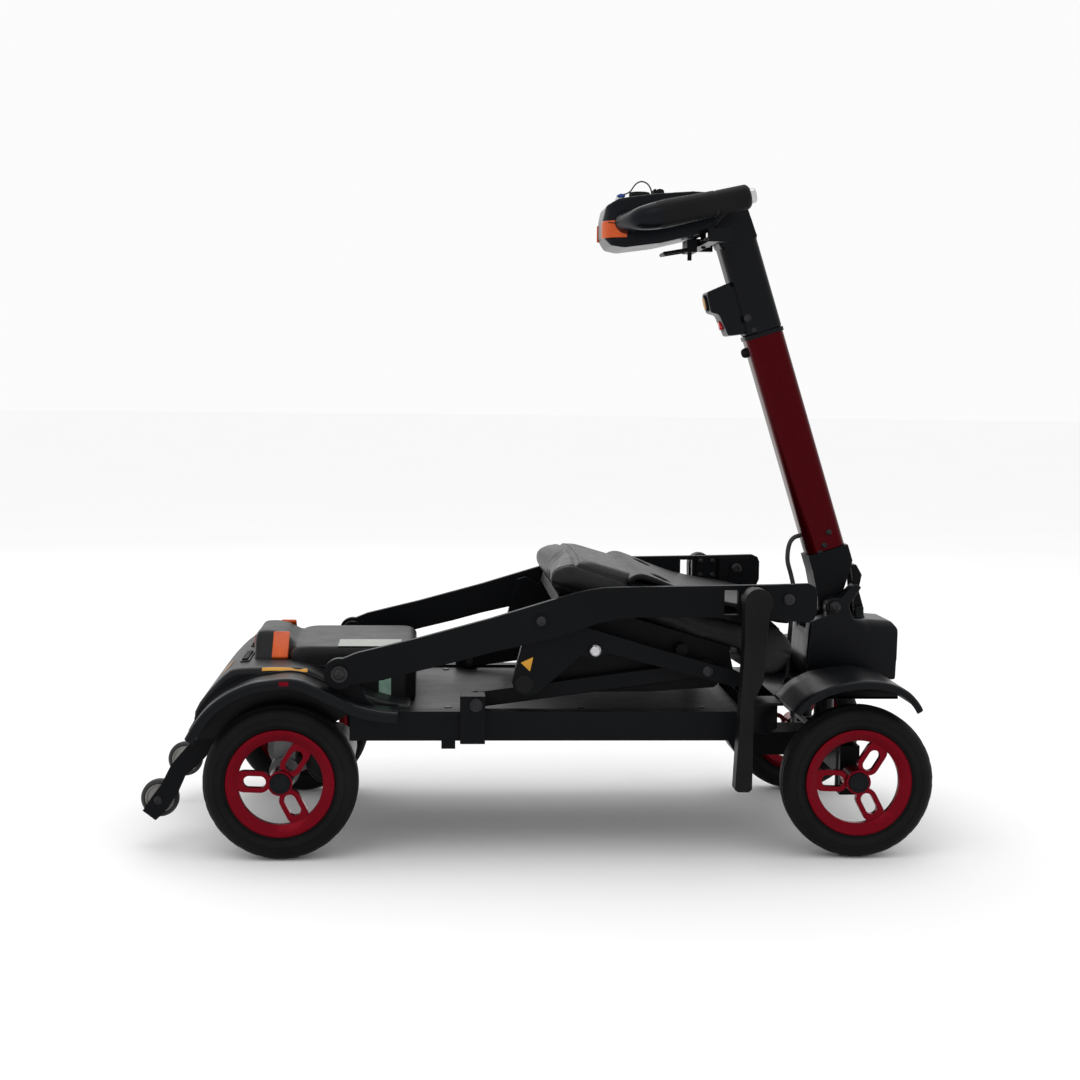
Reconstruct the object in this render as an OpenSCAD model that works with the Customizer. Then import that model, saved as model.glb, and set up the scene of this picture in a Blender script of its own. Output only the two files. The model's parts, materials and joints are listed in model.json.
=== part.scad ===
// Folding four-wheel mobility scooter, seat lowered and tiller upright.
// Millimetres. +X forward, +Y left, +Z up. Origin on the ground below the middle of the scooter.
// A side outline is a list of [x, z] points. Paired pieces are drawn on the left and mirrored.

/* [Wheels] */
// Distance between the front and rear axles
wheelbase = 750; // [735:5:755]
// Outer radius of a road wheel
wheel_r = 100; // [98:0.5:101]
// Middle of each tyre from the centre line
half_track = 205; // [204:0.5:208]
// Width of a tyre
tyre_w = 48; // [42:1:48]
// Radius of the anti-tip wheels
anti_tip_r = 25; // [22:1:25]

/* [Frame] */
// Outer face of each side rail from the centre line
rail_out = 214; // [210:1:214]
// Width of a side rail
rail_w = 24; // [20:1:24]
// Height of the top of the side rails
rail_top = 192; // [190:1:192]
// Depth of a side rail
rail_h = 38; // [34:1:40]
// Thickness of the deck plate
deck_t = 5; // [3:0.5:6]

/* [Seat lift] */
// Thickness of a seat beam
beam_t = 12; // [8:1:12]
// Half width of the seat cushion
seat_half_w = 180; // [160:5:180]
// Thickness of the seat cushion
seat_t = 46; // [36:1:46]
// Length of each armrest below its pivot
armrest_l = 243; // [200:1:243]

/* [Tiller] */
// Lean of the tiller from upright, in degrees
tiller_lean = 17.5; // [16:0.5:18]
// Width and depth of the tiller tube
tiller_w = 54; // [50:1:56]
// Length of the coloured tube
tiller_tube_l = 320; // [300:5:320]
// Radius of a hand grip
grip_r = 17.5; // [15:0.5:18]

/* [Fits] */
// Clearance between a pin and the bore that turns on it
pin_gap = 0.05; // [0.02:0.01:0.09]

/* [Hidden] */
$fn = 48;
eps = 0.01;
rear_x = -330;
front_x = rear_x + wheelbase;
axle_z = wheel_r;
rail_in = rail_out - rail_w;
rail_bottom = rail_top - rail_h;
rear_axle_r = 8;
stub_r = 6;

// Pivots of the seat lift, as [x, z]
beam_pivot = [-255, 241];
seat_pivot = [3, 310];
link_front = [222, 243];
link_pivot = [-80, 202];
arm_pivot = [276, 340];
beam_in = 205;
beam_out = beam_in + beam_t;
seat_rail_in = 187;
seat_rail_out = 203;
link_in = 168;
link_out = 185;
pivot_r = 8;
seat_pin_r = 6;
link_pin_r = 6;
arm_pin_r = 6;
boss_in = beam_out + 2;
arm_in = 241.3;
arm_out = 267;

// The seat lies at this slope while it is lowered
seat_slope = -16.3;
seat_back_top = [36, 383];

// Front end
king_y = 145;
king_r = 8;
stem_r = 14;
steer_arm_x = front_x - 40;
arm_z = 141;
arm_t = 6;
rod_r = 4;
head_half_w = 58;

// Tiller
fold_pivot = [420, 311];
fold_pin_r = 6;
tube_base = [416, 385];
casting_l = 176;
tiller_d = [-sin(tiller_lean), cos(tiller_lean)];
tiller_p = [cos(tiller_lean), sin(tiller_lean)];
console_half_w = 62;
bar_r = 11;
bar_y = 115;

black = [0.07, 0.07, 0.08];
satin = [0.13, 0.14, 0.15];
red = [0.5, 0.04, 0.09];
orange = [1, 0.42, 0.05];
steel = [0.75, 0.76, 0.78];
rubber = [0.05, 0.05, 0.05];

// ---- helpers ----

// A side outline given as [x, z] points, between two distances from the centre line
module side(points, y0, y1) {
    translate([0, y1, 0])
        rotate([90, 0, 0])
            linear_extrude(y1 - y0)
                polygon(points);
}

// An outline of [y, z] points, run from x0 to x1
module front(points, x0, x1) {
    translate([x0, 0, 0])
        rotate([90, 0, 90])
            linear_extrude(x1 - x0)
                polygon(points);
}

// A 2D shape drawn in x and z, between two distances from the centre line
module side_shape(y0, y1) {
    translate([0, y1, 0])
        rotate([90, 0, 0])
            linear_extrude(y1 - y0)
                children();
}

// A round bar across the scooter at p = [x, z]
module across(p, r, y0, y1) {
    translate([p[0], y0, p[1]])
        rotate([-90, 0, 0])
            cylinder(r = r, h = y1 - y0);
}

module box(low, high) {
    translate(low)
        cube(high - low);
}

module both_sides() {
    children();
    mirror([0, 1, 0])
        children();
}

// Moves to the point t along the tiller and w across it
function on_tiller(t, w = 0) = tube_base + t * tiller_d + w * tiller_p;

module at_tiller(t = 0) {
    translate([on_tiller(t)[0], 0, on_tiller(t)[1]])
        rotate([0, -tiller_lean, 0])
            children();
}

// A strip of thickness t under a path of [x, z] points that runs towards +X
function unit(v) = v / norm(v);
function turn(v) = unit([v[1], -v[0]]);
function side_normal(p, i) =
    i == 0 ? turn(p[1] - p[0]) :
    i == len(p) - 1 ? turn(p[i] - p[i - 1]) :
    unit(turn(p[i] - p[i - 1]) + turn(p[i + 1] - p[i]));
function strip(p, t) = concat(p, [for (i = [len(p) - 1 : -1 : 0]) p[i] + t * side_normal(p, i)]);

// A bar with round ends between two [x, z] points
module bar_shape(a, b, r) {
    d = b - a;
    translate(a)
        circle(r);
    translate(b)
        circle(r);
    translate(a)
        rotate(atan2(d[1], d[0]))
            translate([0, -r])
                square([norm(d), 2 * r]);
}

// ---- wheels ----

module wheel_axis(x, z, y) {
    translate([x, y, z])
        rotate([-90, 0, 0])
            children();
}

module tyre() {
    color(rubber)
        rotate_extrude($fn = 96)
            intersection() {
                translate([wheel_r - tyre_w / 2, 0])
                    circle(tyre_w / 2);
                translate([rim_r, -tyre_w / 2])
                    square([wheel_r - rim_r + 1, tyre_w]);
            }
}

rim_r = 69;
rim_hole_r = 54.5;
rim_lip = 17;
hub_r = 16;
spoke_w = 28;
spoke_slot = 15;

// The spoked face is towards +Z of the wheel
module rim(bore_r) {
    color(red)
        difference() {
            union() {
                rotate_extrude($fn = 96)
                    polygon([[rim_r - 5, -rim_lip], [rim_r, -rim_lip - 3], [rim_r, rim_lip + 3],
                        [rim_r - 3, rim_lip + 3], [rim_hole_r, rim_lip - 4], [rim_hole_r, rim_lip - 12],
                        [rim_r - 5, rim_lip - 14]]);
                translate([0, 0, -20])
                    cylinder(r = hub_r, h = 38);
                for (a = [62, 182, 302])
                    rotate(a)
                        translate([0, 0, 3])
                            linear_extrude(9)
                                difference() {
                                    spoke_outline(spoke_w / 2, 46);
                                    spoke_outline(spoke_slot / 2, 40);
                                }
            }
            translate([0, 0, -21])
                cylinder(r = bore_r, h = 32);
        }
}

module spoke_outline(r, far) {
    translate([26, 0])
        circle(r);
    translate([26, -r])
        square([far - 26, 2 * r]);
    translate([far, 0])
        circle(r);
}

module left_wheel_place(x) {
    wheel_axis(x, axle_z, half_track)
        children();
}

module right_wheel_place(x) {
    mirror([0, 1, 0])
        left_wheel_place(x)
            children();
}

module rear_left_tyre() { left_wheel_place(rear_x) tyre(); }
module rear_left_rim() { left_wheel_place(rear_x) rim(rear_axle_r + pin_gap); }
module rear_right_tyre() { right_wheel_place(rear_x) tyre(); }
module rear_right_rim() { right_wheel_place(rear_x) rim(rear_axle_r + pin_gap); }
module front_left_tyre() { left_wheel_place(front_x) tyre(); }
module front_left_rim() { left_wheel_place(front_x) rim(stub_r + pin_gap); }
module front_right_tyre() { right_wheel_place(front_x) tyre(); }
module front_right_rim() { right_wheel_place(front_x) rim(stub_r + pin_gap); }

anti_tip_x = -495;
anti_tip_z = 62;
anti_tip_y = 129;
anti_tip_w = 18;
anti_tip_pin_r = 4;

module left_anti_tip_wheel() {
    wheel_axis(anti_tip_x, anti_tip_z, anti_tip_y) {
        color(rubber)
            rotate_extrude($fn = 72)
                polygon([[19, -7], [anti_tip_r - 3, -anti_tip_w / 2], [anti_tip_r, -anti_tip_w / 2 + 4],
                    [anti_tip_r, anti_tip_w / 2 - 4], [anti_tip_r - 3, anti_tip_w / 2], [19, 7]]);
        color([0.85, 0.84, 0.78])
            difference() {
                translate([0, 0, -7])
                    cylinder(r = 19, h = 14);
                translate([0, 0, -8])
                    cylinder(r = anti_tip_pin_r + pin_gap, h = 16);
            }
    }
}

module right_anti_tip_wheel() { mirror([0, 1, 0]) left_anti_tip_wheel(); }

// ---- chassis ----

module left_rail() {
    color(satin)
        difference() {
            union() {
                box([-242, rail_in, rail_bottom], [280, rail_out, rail_top]);
                side_shape(rail_in, 203.5) {
                    polygon([[-205, rail_top], [-205, rail_top - 8], [-242, rail_top - 8],
                        [-268, 212], [-271, 240], [-239, 240], [-222, 208]]);
                    translate(beam_pivot)
                        circle(16);
                }
            }
            box([-243, rail_in + 3, rail_bottom + 3], [281, rail_out - 3, rail_top - 3]);
            across(beam_pivot, pivot_r, rail_in - 1, rail_out);
        }
}

module right_rail() { mirror([0, 1, 0]) left_rail(); }

beam_tube_top = 124;
beam_tube_bottom = 96;

// Cross member, spine, axle beam with the king tubes, and the head tube
module front_frame() {
    color(satin)
        difference() {
            union() {
                box([254, -rail_in, rail_bottom + 2], [279, rail_in, rail_top - 9]);
                side([[254, 183], [279, 183], [302, 132], [front_x - 15, 132],
                    [front_x - 15, 100], [290, 100], [254, 156]], -38, 38);
                box([front_x - 13, -king_y + 6, beam_tube_bottom], [front_x + 13, king_y - 6, beam_tube_top]);
                translate([front_x, 0, beam_tube_bottom])
                    cylinder(r = 23, h = 43);
                both_sides()
                    translate([front_x, king_y, 82])
                        cylinder(r = 14, h = 46);
            }
            translate([front_x, 0, 90])
                cylinder(r = stem_r + pin_gap, h = 60);
            both_sides()
                translate([front_x, king_y, 80])
                    cylinder(r = king_r + pin_gap, h = 60);
        }
}

deck_rear = -157;
deck_front = 253;

module deck_plate() {
    color([0.45, 0.46, 0.47])
        difference() {
            box([deck_rear - 170, 4 - rail_in, rail_top - 8.5], [deck_front, rail_in - 4, rail_top - 8.5 + deck_t]);
            both_sides() {
                box([deck_rear - 171, 120, 180], [-245, rail_in, 192]);
                box([-246, 173.5, 180], [-164, rail_in, 192]);
            }
            for (x = [-115, 60, 220], s = [-1, 1])
                translate([x, s * 165, 180])
                    cylinder(r = 2.6, h = 12);
        }
}

// Top line of the rear cover, from its tail to the rails
cover_line = [[-444, 150], [-444, 184], [-438, 196], [-424, 214], [-404, 234], [-388, 241],
    [-300, 241], [-268, 226], [-240, 213], [-217, 205], [-190, 197], [-165, 193]];
fender_line = [[-450, 160], [-440, 177], [-428, 193], [-415, 206], [-398, 218], [-380, 227],
    [-362, 233], [-342, 236], [-322, 238], [-304, 236], [-286, 229], [-267, 220], [-248, 211],
    [-230, 202], [-204, 196], [-180, 194]];
cover_t = 4;
housing_half_w = 118;
well_y = 174;

module rear_cover() {
    color(satin)
        difference() {
            union() {
                side(strip(cover_line, cover_t), -178, 178);
                both_sides() {
                    side(concat(cover_line, [[-165, 180], [-248, 180], [-300, 150]]), well_y, 178);
                    side(strip(fender_line, cover_t), 178 - eps, 240);
                    side(strip(fender_line, cover_t + 9), 236, 240);
                }
            }
            // the battery housing stands through the cover
            box([-326, -housing_half_w - 0.5, 150], [-150, housing_half_w + 0.5, 260]);
            both_sides() {
                box([-243, rail_in - 0.5, 140], [-120, rail_out + 0.5, rail_top + 0.5]);
                box([-274, rail_in - 0.5, 180], [-203, 204, 250]);
                across([rear_x, axle_z], 30, 150, 180);
            }
        }
}

module housing_outline(inset) {
    w = housing_half_w - inset;
    polygon([[-325 + inset, -w + 14], [-311, -w], [-172, -w], [-158 - inset, -w + 14],
        [-158 - inset, w - 14], [-172, w], [-311, w], [-325 + inset, w - 14]]);
}

nose_w = 57;
nose_foot_w = 98;
nose_top = 277;

module battery_housing() {
    color(satin)
        difference() {
            union() {
                translate([0, 0, rail_top - 3])
                    linear_extrude(67)
                        housing_outline(0);
                translate([0, 0, rail_top + 64])
                    linear_extrude(6)
                        housing_outline(5);
                intersection() {
                    side([[-375, 241.5], [-377, 268], [-372, 276], [-352, 277], [-334, 272], [-321, 262],
                        [-324, 241.5]], -nose_foot_w, nose_foot_w);
                    front([[-nose_foot_w, 241], [nose_foot_w, 241], [nose_w, nose_top], [-nose_w, nose_top]],
                        -378, -320);
                }
            }
            translate([0, 0, rail_top - 4])
                linear_extrude(70)
                    housing_outline(4);
            // the pocket behind the lamp lens
            box([-378, -30, 247], [-372.5, 30, 267]);
        }
}

module battery_pack() {
    color([0.2, 0.25, 0.4])
        box([-317, -99, rail_top - 3.5], [-166, 99, 248]);
}

module tail_lamp_lens() {
    color([0.45, 0.02, 0.03])
        difference() {
            side([[-372.5, 247.2], [-379, 247.2], [-380.5, 257], [-379, 266.8], [-372.5, 266.8]], -29.8, 29.8);
            box([-374.5, -27, 249], [-372.4, 27, 265]);
        }
}

// The reflectors stand on the sloping flanks of the nose
module side_reflectors() {
    color(orange)
        both_sides()
            front([[95, 244], [62.2, 272.5], [64.8, 275.5], [97.6, 247]], -350, -330);
}

module transaxle() {
    color([0.6, 0.61, 0.62]) {
        across([rear_x, axle_z], rear_axle_r, -half_track - 10, half_track + 10);
        difference() {
            union() {
                across([rear_x, axle_z], 36, 18, 62);
                across([rear_x, axle_z], 20, -150, 150);
                across([rear_x + 52, axle_z + 4], 24, 18, 58);
            }
            across([rear_x, axle_z], rear_axle_r, -151, 151);
        }
        both_sides()
            box([rear_x - 14, 126, axle_z + 16], [rear_x + 14, 146, 182]);
    }
}

module drive_motor() {
    color(black) {
        across([rear_x + 56, axle_z + 4], 33, -88, 18);
        across([rear_x + 56, axle_z + 4], 26, -102, -88);
    }
}

module controller() {
    color(black)
        box([-70, -60, 152], [70, 60, rail_top - 8.5]);
}

module anti_tip_arms() {
    // the arms run outside their wheels
    arm_in_y = anti_tip_y + anti_tip_w / 2 + 2;
    color(black) {
        both_sides() {
            side([[-499, 35], [-488, 45], [-470, 71], [-460, 94], [-440, 112], [-424, 130], [-398, 134],
                [-396, 150], [-432, 150], [-452, 140], [-478, 110], [-492, 82], [-504, 66], [-516, 48]],
                arm_in_y, arm_in_y + 7);
            across([anti_tip_x, anti_tip_z], anti_tip_pin_r, anti_tip_y - anti_tip_w / 2 - 3, arm_in_y + 1);
        }
        across([-422, 138], 9, -arm_in_y - 3, arm_in_y + 3);
        box([-436, -60, 146], [-330, 60, 153]);
        box([rear_x - 14, -60, 120], [rear_x + 14, -40, 153]);
    }
}

// Clamps round the rails with the link bolts, and the stop block under each rail
module link_brackets() {
    color(black)
        both_sides() {
            difference() {
                box([-100, rail_in - 3.5, 151], [-68, 222, 213]);
                box([-101, rail_in, rail_bottom], [-67, rail_out, rail_top]);
                across(link_pivot, link_pin_r, 180, 223);
            }
            box([-124, 196, 143], [-106, 212, rail_bottom]);
        }
}

module bolt_head(p, y, r, h) {
    across(p, r, y, y + h);
}

module chassis_bolts() {
    color(steel)
        both_sides() {
            across(beam_pivot, pivot_r, rail_in, beam_out + 1);
            bolt_head(beam_pivot, beam_out + 1, 11, 4);
            across(link_pivot, link_pin_r, link_in, 222);
            bolt_head(link_pivot, 222, 8.5, 4);
            for (x = [-115, 60, 220])
                translate([x, 165, rail_top - 8.5]) {
                    cylinder(r = 2.6, h = deck_t);
                    translate([0, 0, deck_t])
                        cylinder(r = 5, h = 1.5);
                }
        }
}

// Where the control cable enters the front cover
cable_foot = 368;
front_line = [[330, 196], [340, 207], [354, 218], [376, 228], [402, 234], [430, 236],
    [458, 232], [480, 222], [494, 208], [500, 198]];

module front_cover() {
    color(satin)
        difference() {
            union() {
                both_sides() {
                    side(strip(front_line, cover_t), 100, 240);
                    side(strip(front_line, cover_t + 6), 236, 240);
                    side(concat(front_line, [[500, 190], [330, 190]]), 100, 104);
                }
                box([285, -104, 190], [500, 104, 194]);
                box([285, -160, 190], [331, 160, 194]);
                both_sides()
                    side([[285, 191], [285, 146], [322, 141], [334, 150], [334, 191]], 100, 104);
                translate([cable_foot, 0, 193])
                    cylinder(r = 6, h = 7);
            }
            translate([front_x, 0, 180])
                cylinder(r = 22, h = 30);
        }
}

// ---- front wheels and steering ----

module left_knuckle() {
    color(black) {
        translate([front_x, king_y, 72])
            cylinder(r = king_r, h = 66);
        translate([front_x, king_y, 72])
            cylinder(r = 14, h = 9.5);
        translate([front_x, king_y, 128.5])
            cylinder(r = 14, h = 12.5);
        box([front_x - 13, king_y + 5, 72], [front_x + 13, king_y + 24, 81.5]);
        box([front_x - 13, king_y + 5, 128.5], [front_x + 13, king_y + 24, 138]);
        box([front_x - 13, king_y + 15, 72], [front_x + 13, king_y + 24, 138]);
        across([front_x, axle_z], 12, king_y + 23, half_track - 21);
        across([front_x, axle_z], stub_r, king_y + 23, half_track + 10);
        box([steer_arm_x, king_y - 7, arm_z], [front_x, king_y + 7, arm_z + arm_t]);
        translate([front_x, king_y, 138])
            cylinder(r = 10, h = arm_z + arm_t - 138);
        translate([steer_arm_x, king_y, arm_z])
            cylinder(r = 9, h = arm_t);
    }
}

module right_knuckle() { mirror([0, 1, 0]) left_knuckle(); }

module tie_rod() {
    z = arm_z + arm_t + 1.5 + rod_r;
    color(steel) {
        translate([steer_arm_x, -king_y, z])
            rotate([-90, 0, 0])
                cylinder(r = rod_r, h = 2 * king_y);
        for (y = [-king_y, 0, king_y])
            translate([steer_arm_x, y, z - rod_r])
                cylinder(r = 8, h = 2 * rod_r);
    }
}

head_outline = [[386, 209], [382, 241], [386, 290], [404, 297], [412, 299], [424, 318],
    [444, 340], [451, 343], [457, 338], [440, 312], [447, 294], [503, 290], [510, 280], [508, 209]];

module steering_head() {
    color(satin)
        difference() {
            union() {
                side(head_outline, -head_half_w, head_half_w);
                across(fold_pivot, 13, -head_half_w, head_half_w);
                translate([front_x, 0, 97])
                    cylinder(r = stem_r, h = 113);
                translate([front_x, 0, arm_z])
                    cylinder(r = 20, h = arm_t);
                box([steer_arm_x, -9, arm_z], [front_x, 9, arm_z + arm_t]);
            }
            // the slot that the tiller knuckle folds in
            side([[370, 276], [446, 276], [446, 293], [475, 293], [475, 360], [370, 360]], -29, 29);
            across(fold_pivot, fold_pin_r, -head_half_w - 1, head_half_w + 1);
        }
    // lugs of the latch pedal
    color(satin)
        both_sides()
            difference() {
                box([455, 19, 292], [469, 25, 308]);
                across(pedal_pivot, pedal_pin_r + pin_gap, 18, 26);
            }
}

module fold_pin() {
    color(steel) {
        across(fold_pivot, fold_pin_r, -head_half_w, head_half_w);
        both_sides()
            bolt_head(fold_pivot, head_half_w, 8, 4);
    }
}

pedal_pivot = [462, 301];
pedal_pin_r = 3;
pedal_line = [[456, 296], [467, 295], [470, 304], [462, 331], [466, 352], [458, 366], [450, 366],
    [453, 346], [455, 322]];

module latch_pedal() {
    color(black) {
        both_sides()
            side(pedal_line, 12, 18);
        side([[450, 366], [451, 360], [460, 360], [458, 366]], -12.5, 12.5);
        across(pedal_pivot, pedal_pin_r, -24.5, 24.5);
    }
}

// ---- tiller ----

module tiller_knuckle() {
    color(black)
        difference() {
            union() {
                side([on_tiller(2, -tiller_w / 2 - 2), on_tiller(2, tiller_w / 2 + 2),
                    on_tiller(-22, tiller_w / 2 + 2), [436, 322], [434, 302], [404, 302], [402, 322],
                    on_tiller(-22, -tiller_w / 2 - 2)], -28, 28);
                across(fold_pivot, 17, -28, 28);
            }
            across(fold_pivot, fold_pin_r + pin_gap, -29, 29);
        }
}

module tiller_tube() {
    color(red)
        difference() {
            at_tiller(2)
                linear_extrude(tiller_tube_l - 2)
                    rounded_square(tiller_w, tiller_w - 4, 14);
            at_tiller(2 - eps)
                linear_extrude(tiller_tube_l)
                    rounded_square(tiller_w - 6, tiller_w - 10, 11);
        }
}

module rounded_square(w, d, r) {
    for (x = [-1, 1], y = [-1, 1])
        translate([x * (w / 2 - r), y * (d / 2 - r)])
            circle(r);
    square([w - 2 * r, d], center = true);
    square([w, d - 2 * r], center = true);
}

module upper_casting() {
    color(black) {
        at_tiller(tiller_tube_l)
            linear_extrude(casting_l - 46)
                rounded_square(tiller_w, tiller_w, 14);
        side([on_tiller(tiller_tube_l + casting_l - 50, -27), on_tiller(tiller_tube_l + casting_l - 50, 27),
            on_tiller(tiller_tube_l + casting_l - 6, 25), on_tiller(tiller_tube_l + casting_l + 2, 18),
            on_tiller(tiller_tube_l + casting_l - 4, -22), on_tiller(tiller_tube_l + casting_l - 26, -29)],
            -27, 27);
    }
}

button_t = tiller_tube_l + 24;
button_r = 6;

// Faces the rider, square to the lower face of the control box
module at_button() {
    at_tiller(button_t)
        translate([-50.5, 0, 0])
            rotate([0, -83, 0])
                children();
}

module control_box() {
    t0 = tiller_tube_l + 4;
    color(black)
        difference() {
            side([on_tiller(t0, -27.3), on_tiller(t0 + 74, -27.3), on_tiller(t0 + 70, -62),
                on_tiller(t0 + 42, -64), on_tiller(t0 + 36, -54), on_tiller(t0 + 4, -50)], -24, 24);
            at_button()
                translate([0, 0, -2])
                    cylinder(r = button_r + 0.4, h = 10);
        }
}

module charge_cap() {
    color(orange)
        at_tiller(tiller_tube_l + 60)
            translate([-63.4, 0, 0])
                rotate([0, -86, 0])
                    cylinder(r = 12, h = 3);
}

module power_button() {
    color([0.8, 0.05, 0.05])
        at_button()
            cylinder(r = button_r, h = 5);
}

dial_at = [148, 18];
key_at = [118, -20];
lever_x = 236;
lever_z = 806;
lever_pin_r = 4;
console_line = [[92, 838], [96, 856], [112, 865], [160, 872], [212, 876], [262, 874], [262, 850],
    [236, 822], [170, 806], [120, 799], [102, 802], [92, 815]];

module console() {
    color(black)
        difference() {
            side(console_line, -console_half_w, console_half_w);
            // socket for the tiller casting
            side([on_tiller(300, -30), on_tiller(300, 60), on_tiller(560, 60), on_tiller(560, -30)], -28, 28);
            both_sides()
                box([80, console_half_w - 3, 812], [108, console_half_w + 1, 836]);
            translate([dial_at[0], dial_at[1], 870])
                cylinder(r = 17, h = 10);
            translate([key_at[0], key_at[1], 859.5])
                cylinder(r = 3 + pin_gap, h = 20);
        }
    // post that the throttle lever turns on
    color(black)
        translate([lever_x, 0, lever_z - 4])
            cylinder(r = lever_pin_r, h = 22);
}

module console_reflectors() {
    color(orange)
        both_sides()
            box([93, console_half_w - 3, 812.2], [107.8, console_half_w + 1, 835.8]);
}

bar_tip = [bar_y, 286, 866];
bar_bend = [bar_y, 150, 836];
bar_corner = [bar_y - 22, 132, 828];

module tube_between(a, b, r) {
    d = b - a;
    translate(a)
        rotate([0, acos(d[2] / norm(d)), atan2(d[1], d[0])])
            cylinder(r = r, h = norm(d));
}

function yxz(p) = [p[1], p[0], p[2]];

module handlebar() {
    color(black)
        both_sides() {
            tube_between([132, console_half_w, 828], yxz(bar_corner), bar_r);
            translate(yxz(bar_corner))
                sphere(bar_r + 0.3);
            tube_between(yxz(bar_corner), yxz(bar_bend), bar_r);
            translate(yxz(bar_bend))
                sphere(bar_r + 0.3);
            tube_between(yxz(bar_bend), yxz(bar_tip), bar_r);
        }
}

module grips() {
    a = yxz(bar_bend);
    d = (yxz(bar_tip) - a) / norm(yxz(bar_tip) - a);
    color(rubber)
        both_sides()
            difference() {
                tube_between(a + 8 * d, a + (norm(yxz(bar_tip) - a) - 7) * d, grip_r);
                tube_between(a + 7 * d, a + norm(yxz(bar_tip) - a) * d, bar_r);
            }
}

module throttle_lever() {
    color(black)
        difference() {
            union() {
                translate([lever_x, 0, lever_z])
                    cylinder(r = 10, h = 10);
                box([lever_x - 7, -96, lever_z], [lever_x + 7, 96, lever_z + 7]);
                both_sides()
                    box([lever_x - 7, 84, lever_z], [lever_x + 26, 96, lever_z + 18]);
            }
            translate([lever_x, 0, lever_z - 6])
                cylinder(r = lever_pin_r + pin_gap, h = 30);
        }
}

module speed_dial() {
    color([0.2, 0.2, 0.22])
        difference() {
            translate([dial_at[0], dial_at[1], 870.3])
                cylinder(r = 15, h = 11);
            for (a = [0 : 30 : 330])
                translate([dial_at[0] + 16 * cos(a), dial_at[1] + 16 * sin(a), 872])
                    cylinder(r = 2, h = 12);
        }
}

module key() {
    color([0.15, 0.3, 0.65]) {
        translate([key_at[0], key_at[1], 860])
            cylinder(r = 3, h = 11);
        box([key_at[0] - 1.5, key_at[1] - 7, 870.5], [key_at[0] + 1.5, key_at[1] + 7, 880]);
    }
}

// Wire loop under the console with its block and pin
module transport_hook() {
    color(black) {
        box([210, -24, 797], [224, 24, 814]);
        across([180, 795], 2.5, -22, 22);
        both_sides()
            tube_between([180, 20, 795], [214, 20, 801], 2.4);
        translate([217, 0, 787])
            cylinder(r = 3, h = 11);
    }
}

// Route of the control cable: out of the back of the tiller tube, down behind the head, into the cover
cable_r = 3.2;
cable_route = [[380.8, 0, 405.4], [373, 0, 402.9], [367, 0, 396], [364, 0, 384], [364, 0, 368], [369, 0, 350],
    [373, 0, 332], [373, 0, 312], [371, 0, 288], [369, 0, 262], [368, 0, 236], [368, 0, 216], [368, 0, 200]];
cable_sides = 8;

function ring_dir(p, i) =
    i == 0 ? p[1] - p[0] :
    i == len(p) - 1 ? p[i] - p[i - 1] :
    p[i + 1] - p[i - 1];
function ring_at(p, i, r) =
    let (t = unit(ring_dir(p, i)), n = [0, 1, 0], b = cross(t, n))
    [for (k = [0 : cable_sides - 1])
        p[i] + r * (cos(360 * k / cable_sides) * n + sin(360 * k / cable_sides) * b)];

module swept_tube(p, r) {
    n = len(p);
    points = [for (i = [0 : n - 1]) each ring_at(p, i, r)];
    walls = [for (i = [0 : n - 2], k = [0 : cable_sides - 1])
        let (a = i * cable_sides + k, b = i * cable_sides + (k + 1) % cable_sides)
        [a, b, b + cable_sides, a + cable_sides]];
    first = [for (k = [cable_sides - 1 : -1 : 0]) k];
    last = [for (k = [0 : cable_sides - 1]) (n - 1) * cable_sides + k];
    polyhedron(points = points, faces = concat([first], walls, [last]));
}

module control_cable() {
    color(rubber)
        swept_tube(cable_route, cable_r);
}

// ---- seat lift ----

beam_line = [[-262, 256], [-233, 268], [-156, 287], [-62, 313], [26, 340], [48, 346.5], [66, 350.5],
    [84, 353], [103, 354], [207, 356], [298, 358], [350, 359.5], [358, 356], [361, 349], [361, 322],
    [357, 313], [350, 309], [266, 316], [130, 315], [104, 313], [78, 307.8], [27, 289.6],
    [-63, 268.6], [-105, 257], [-150, 246], [-200, 233], [-244, 226]];

module left_beam() {
    color(black)
        difference() {
            union() {
                side(beam_line, beam_in, beam_out);
                across(beam_pivot, 20, beam_in - 0.5, beam_out + 0.5);
            }
            across(beam_pivot, pivot_r + pin_gap, beam_in - 1, beam_out + 1);
            across(seat_pivot, seat_pin_r, beam_in - 1, beam_out + 1);
            across(arm_pivot, arm_pin_r, beam_in - 1, beam_out + 1);
            across([324, 339], 6, beam_in - 1, beam_out + 1);
            box([240, beam_in - 1, 319], [258, beam_out + 1, 351]);
        }
}

module right_beam() { mirror([0, 1, 0]) left_beam(); }

// Pivot bolts of the seat and the armrests, and the screwed plates inside the beams
module beam_plates() {
    color([0.3, 0.3, 0.32])
        both_sides() {
            across(seat_pivot, seat_pin_r, seat_rail_in, beam_out);
            bolt_head(seat_pivot, beam_out, 9, 2.5);
            across(arm_pivot, arm_pin_r, beam_in - 4, 256);
            across([324, 339], 6, 194, beam_out);
            bolt_head([324, 339], beam_out, 9, 1.5);
            difference() {
                box([264, 201, 318], [294, beam_in, 356]);
                across(arm_pivot, arm_pin_r, 200, beam_in + 1);
            }
            difference() {
                side([[298, 320], [304, 315], [350, 315], [356, 322], [356, 348], [350, 355], [298, 355]],
                    198, beam_in);
                across([324, 339], 6, 197, beam_in + 1);
            }
            for (x = [270, 288], z = [329, 350])
                across([x, z], 3, 199, 201);
        }
}

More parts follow.
